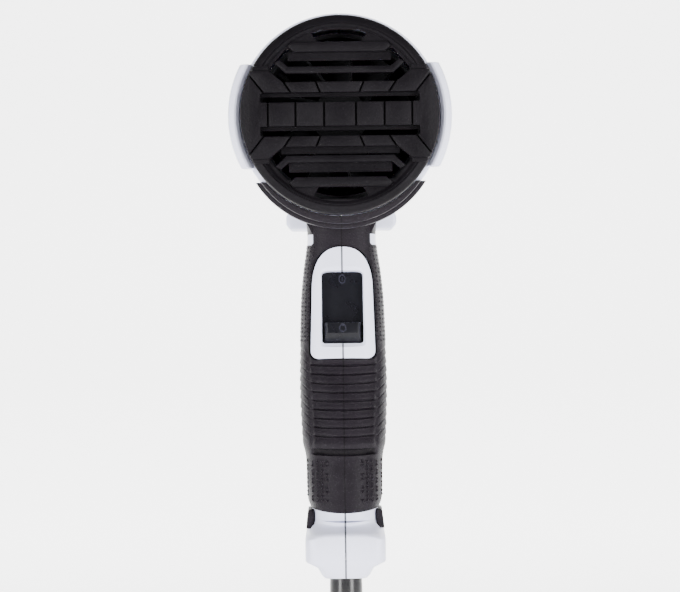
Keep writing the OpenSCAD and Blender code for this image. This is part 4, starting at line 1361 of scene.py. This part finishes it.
def sleeve_mesh():
    """The tapered bend sleeve, smooth at the heel and ribbed further down."""
    top, low = HEEL_Z, SLEEVE_LOW.z
    r = SLEEVE_R
    outer = [(r, top + 6.2), (r, top - 1), (r + 0.12, top - 4), (r + 0.22, top - 9),
             (r + 0.12, top - 13)]
    rows = 9
    for k in range(rows):
        t = k / (rows - 1)
        z = top - 15 - t * (top - low - 22)
        r = SLEEVE_R - 1.4 * t
        outer += [(r, z), (r, z - 2.2), (r - 0.75, z - 2.7), (r - 0.8, z - 3.6)]
    outer += [(5.0, low + 1.2), (4.7, low + 0.3), (4.4, low), (CORD_R + 0.05, low)]
    profile = [(CORD_R + 0.05, top + 9), (8.3, top + 9), (8.3, top + 6.3)] + outer
    return lathe(profile, 72, "Z", (0, SLEEVE_Y, 0))


def tie_mesh():
    """The strap round the coil."""
    low, high = box_mm("coil_tie")
    middle_y = (low.y + high.y) / 2
    half = (high.y - low.y) / 2 - 0.1
    height = high.z - FLOOR
    foot, top, bend, thick = FLOOR + 0.05, FLOOR + height - 0.05, 1.95, 1.1
    outer = [(-half, foot), (-half, top - bend), (bend + 0.05 - half, top)]
    inner = [(half - thick, foot), (half - thick, top - bend - 0.4),
             (half - bend - 0.45, top - thick)]
    outline = outer + [(-y, z) for y, z in outer[::-1]] + inner
    outline += [(-y, z) for y, z in inner[::-1]]
    outline = [(middle_y + y, z) for y, z in outline]
    strap = block(outline, 0, 7)
    turn = Matrix(((0, 1, 0, COIL_AT[0] - 3.5), (1, 0, 0, 0), (0, 0, 1, 0), (0, 0, 0, 1)))
    moved(strap, turn)
    bmesh.ops.recalc_face_normals(strap, faces=strap.faces)
    round_off(strap, hard_edges(strap, 50), 0.3, 2)
    return strap


def plug_mesh():
    """The flat two-pin plug: a waisted body that narrows to the cord."""
    low, high = box_mm("plug_body")
    x = (low.x + high.x) / 2
    half = (high.x - low.x) / 2
    back, front, top = high.y, low.y, high.z - FLOOR
    rows = [
        (back, 4.6, 5.2, 5.5), (back - 2, 5.4, 5.4, 5.5), (back - 9, 6.0, 5.5, 5.6),
        (back - 14, 8.2, 5.9, 6.3), (back - 20, 11.6, 6.9, 7.2), (back - 25, half - 1, 7.7, 7.8),
        (back - 29, half - 0.2, 7.9, 8.0), (front + 1.2, half - 0.1, 7.95, 8.0),
        (front + 0.3, half - 0.5, 7.6, 8.0), (front, half - 1.2, 7.0, 8.0),
    ]
    rings = []
    for y, a, b, z in rows:
        ring, middle = [], FLOOR + min(z, top - b)
        for i in range(48):
            angle = 2 * math.pi * i / 48
            across = a * signed_power(math.cos(angle), 0.55)
            up = b * signed_power(math.sin(angle), 0.6)
            ring.append(Vector((x + across, y, middle + up)))
        rings.append(ring)
    return loft(rings)


def pin_mesh():
    """The plug's two round pins, bare at the tip and sleeved at the root."""
    low, high = box_mm("plug_pins")
    z = (low.z + high.z) / 2
    pins = []
    for x in (low.x + PIN_R, high.x - PIN_R):
        tip, root, r = low.y, high.y, PIN_R
        profile = [(0, tip), (r / 2, tip), (r - 0.3, tip + 0.6), (r, tip + 1.6), (r, tip + 9),
                   (r - 0.15, tip + 9.2), (r - 0.15, root - 0.2), (r, root), (0, root)]
        pins.append(lathe(profile, 32, centre=(x, 0, z)))
    return joined(pins)


# ---- Stage ----

GLOW, SKY = 1.8, 0.2
# Each lamp's name, place and aim in metres, width and height in metres, and power in watts
GUN_AT, BACKDROP_AT = (0, 0.03, 0.03), (0, 3.2, 0.0)
LAMPS = (
    ("left_strip", (-0.84, -0.9, 0.0), GUN_AT, 0.36, 1.1, 28),
    ("right_strip", (0.82, -0.92, 0.0), GUN_AT, 0.42, 1.1, 34),
    ("fill", (0.0, -1.2, -0.5), GUN_AT, 0.5, 0.3, 7),
    ("overhead", (0.0, -0.9, 1.1), GUN_AT, 1.4, 0.7, 4),
    ("backdrop_light", (0.0, 1.1, 1.5), BACKDROP_AT, 3.0, 1.2, 150),
)
# The width in millimetres that the camera sees at the cap, its shift to the left and its roll
SEEN_WIDTH, CAMERA_SHIFT, CAMERA_ROLL = 268.6, 0.95, -0.75


def studio():
    """A pale cove, soft lights at both sides, and the camera straight behind the gun."""
    s = sizes()
    scene = bpy.context.scene
    floor_z = (TO_ROW @ Vector((0, 0, FLOOR))).z - 0.0005
    bm = bmesh.new()
    near = bm.verts.new((-6, -3.0, floor_z))
    side = bm.verts.new((6, -3.0, floor_z))
    edge = bm.edges.new((near, side))
    sweep = [(0, 5.0, 0), (0, 0.6, 0.12), (0, 0.5, 0.45), (0, 0.15, 0.8), (0, 0, 4)]
    edges = [edge]
    for move in sweep:
        made = bmesh.ops.extrude_edge_only(bm, edges=edges)
        new = new_verts(made)
        bmesh.ops.translate(bm, vec=move, verts=new)
        edges = [
            g for g in made["geom"]
            if isinstance(g, bmesh.types.BMEdge) and all(v in new for v in g.verts)
        ]
    bmesh.ops.recalc_face_normals(bm, faces=bm.faces)
    mesh = mesh_of("cove", bm)
    mesh.shade_smooth()
    cove = shown("cove", mesh)
    paper = finish_of("paper", (0.95, 0.95, 0.95), 0.9, variation=0.005, grain_bump=0.02)
    glow = paper.node_tree.nodes["Principled BSDF"]
    glow.inputs["Emission Color"].default_value = (1, 1, 1, 1)
    glow.inputs["Emission Strength"].default_value = GLOW
    mesh.materials.append(paper)
    world = bpy.data.worlds.new("studio")
    scene.world = world
    world.use_nodes = True
    world.node_tree.nodes["Background"].inputs["Color"].default_value = (1, 1, 1, 1)
    world.node_tree.nodes["Background"].inputs["Strength"].default_value = SKY
    for name, place, aim, wide, high, power in LAMPS:
        lamp = bpy.data.lights.new(name, "AREA")
        lamp.shape, lamp.size, lamp.size_y, lamp.energy = "RECTANGLE", wide, high, power
        made = shown(name, lamp)
        made.location = place
        way = Vector(aim) - Vector(place)
        made.rotation_euler = way.to_track_quat("-Z", "Y").to_euler()
    lens = bpy.data.cameras.new("camera")
    lens.sensor_width = 36
    lens.lens = lens.sensor_width * s.camera_distance / SEEN_WIDTH
    lens.clip_start, lens.clip_end = 0.05, 20
    camera = shown("camera", lens)
    eye = TO_ROW @ Vector((-CAMERA_SHIFT, -s.camera_distance, -s.camera_drop))
    roll = Matrix.Rotation(math.radians(CAMERA_ROLL), 4, "Z")
    camera.matrix_world = Matrix.Translation(eye) @ Matrix.Rotation(math.pi / 2, 4, "X") @ roll
    scene.camera = camera


# ---- Operators ----


class MakeStudio(bpy.types.Operator):
    """Make the floor, the lights and the camera"""

    bl_idname = "heat_gun.studio"
    bl_label = "Studio"

    def execute(self, context):
        studio()
        return {"FINISHED"}


class MakeCord(bpy.types.Operator):
    """Make the mains cord with its sleeve, tie and plug"""

    bl_idname = "heat_gun.cord"
    bl_label = "Cord and plug"

    def execute(self, context):
        f = finishes()
        cord, line, run = cord_piece()
        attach(cord, "root")
        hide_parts("cord", "cord_coil", "cord_tail")
        sleeve = piece_from("bend_sleeve", sleeve_mesh(), f["cord"])
        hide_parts("cord_sleeve")
        tie = piece_from("coil_strap", tie_mesh(), f["tie"])
        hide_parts("coil_tie")
        plug = piece_from("mains_plug", plug_mesh(), f["dark"])
        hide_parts("plug_body")
        pins = piece_from("mains_pins", pin_mesh(), f["plated"])
        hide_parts("plug_pins")
        return {"FINISHED"}


class MakeShells(bpy.types.Operator):
    """Make the left and right halves of the pale housing"""

    bl_idname = "heat_gun.shells"
    bl_label = "Housing shells"

    def execute(self, context):
        solid = shell_solid()
        for side, name in ((-1, "left"), (1, "right")):
            half = halved(solid.copy(), side, sizes().seam, 0.08)
            if side < 0:
                half = joined([half, seam_lip()])
            shell = piece_from(f"shell_{name}", half, finishes()["shell"])
            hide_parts(f"housing_{name}")
        solid.free()
        return {"FINISHED"}


class MakeGrips(bpy.types.Operator):
    """Make the two halves of the soft grip and the pads at the handle's end"""

    bl_idname = "heat_gun.grips"
    bl_label = "Soft grip"

    def execute(self, context):
        solid = grip_solid()
        for side, name in ((-1, "left"), (1, "right")):
            half = halved(solid.copy(), side, 0.0, 0.14)
            grip = joined([half, teeth(side)])
            piece = piece_from(f"soft_grip_{name}", grip, finishes()["grip"])
            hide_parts(f"grip_{name}")
        solid.free()
        pads = joined([pad_block(-1), pad_block(1)])
        piece = piece_from("end_pads", pads, finishes()["grip"])
        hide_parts("heel_pads")
        return {"FINISHED"}


class MakeCap(bpy.types.Operator):
    """Make the slatted rear cap"""

    bl_idname = "heat_gun.cap"
    bl_label = "Rear cap"

    def execute(self, context):
        cap = joined([cap_ring(), grille()])
        piece = piece_from("slatted_cap", cap, finishes()["cap"])
        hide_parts("rear_cap")
        return {"FINISHED"}


class MakeFront(bpy.types.Operator):
    """Make the collar and the steel outlet tube"""

    bl_idname = "heat_gun.front"
    bl_label = "Collar and outlet"

    def execute(self, context):
        collar = piece_from("collar", collar_mesh(), finishes()["cap"])
        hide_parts("front_collar")
        tube = piece_from("outlet_tube", tube_mesh(), finishes()["nozzle"])
        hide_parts("nozzle_tube")
        return {"FINISHED"}


class MakeSwitch(bpy.types.Operator):
    """Make the sliding switch plate with its knob"""

    bl_idname = "heat_gun.switch"
    bl_label = "Switch slider"

    def execute(self, context):
        slider = piece_from("slide_knob", slider_mesh(), finishes()["panel"], "switch")
        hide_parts("switch_slider")
        marks = piece_from("switch_marks", mark_mesh(), finishes()["mark"], "switch")
        return {"FINISHED"}


class FinishInside(bpy.types.Operator):
    """Give every piece inside the gun its finish"""

    bl_idname = "heat_gun.inside"
    bl_label = "Inner pieces"

    def execute(self, context):
        for name, finish in NODE_FINISHES.items():
            materials = frame["nodes"][name].data.materials
            materials.clear()
            materials.append(finishes()[finish])
        return {"FINISHED"}


class HeatGunPanel(bpy.types.Panel):
    """Lists the steps and the sizes of the heat gun"""

    bl_idname = "VIEW3D_PT_heat_gun"
    bl_label = "Heat gun"
    bl_space_type = "VIEW_3D"
    bl_region_type = "UI"
    bl_category = "Heat gun"

    def draw(self, context):
        for step in STEPS:
            self.layout.operator(step.bl_idname)
        for group in (context.scene.heat_gun_sizes, context.scene.heat_gun_colours):
            for name in group.__annotations__:
                self.layout.prop(group, name)


STEPS = (MakeStudio, MakeCord, MakeSwitch, MakeCap, MakeFront, MakeGrips, MakeShells,
         FinishInside)
CLASSES = (HeatGunSizes, HeatGunColours, *STEPS, HeatGunPanel)


def register():
    for made in CLASSES:
        bpy.utils.register_class(made)
    bpy.types.Scene.heat_gun_sizes = bpy.props.PointerProperty(type=HeatGunSizes)
    bpy.types.Scene.heat_gun_colours = bpy.props.PointerProperty(type=HeatGunColours)


def unregister():
    del bpy.types.Scene.heat_gun_colours
    del bpy.types.Scene.heat_gun_sizes
    for made in reversed(CLASSES):
        bpy.utils.unregister_class(made)


def main():
    register()
    for step in STEPS:
        group, name = step.bl_idname.split(".")
        getattr(getattr(bpy.ops, group), name)()


if __name__ == "__main__":
    main()
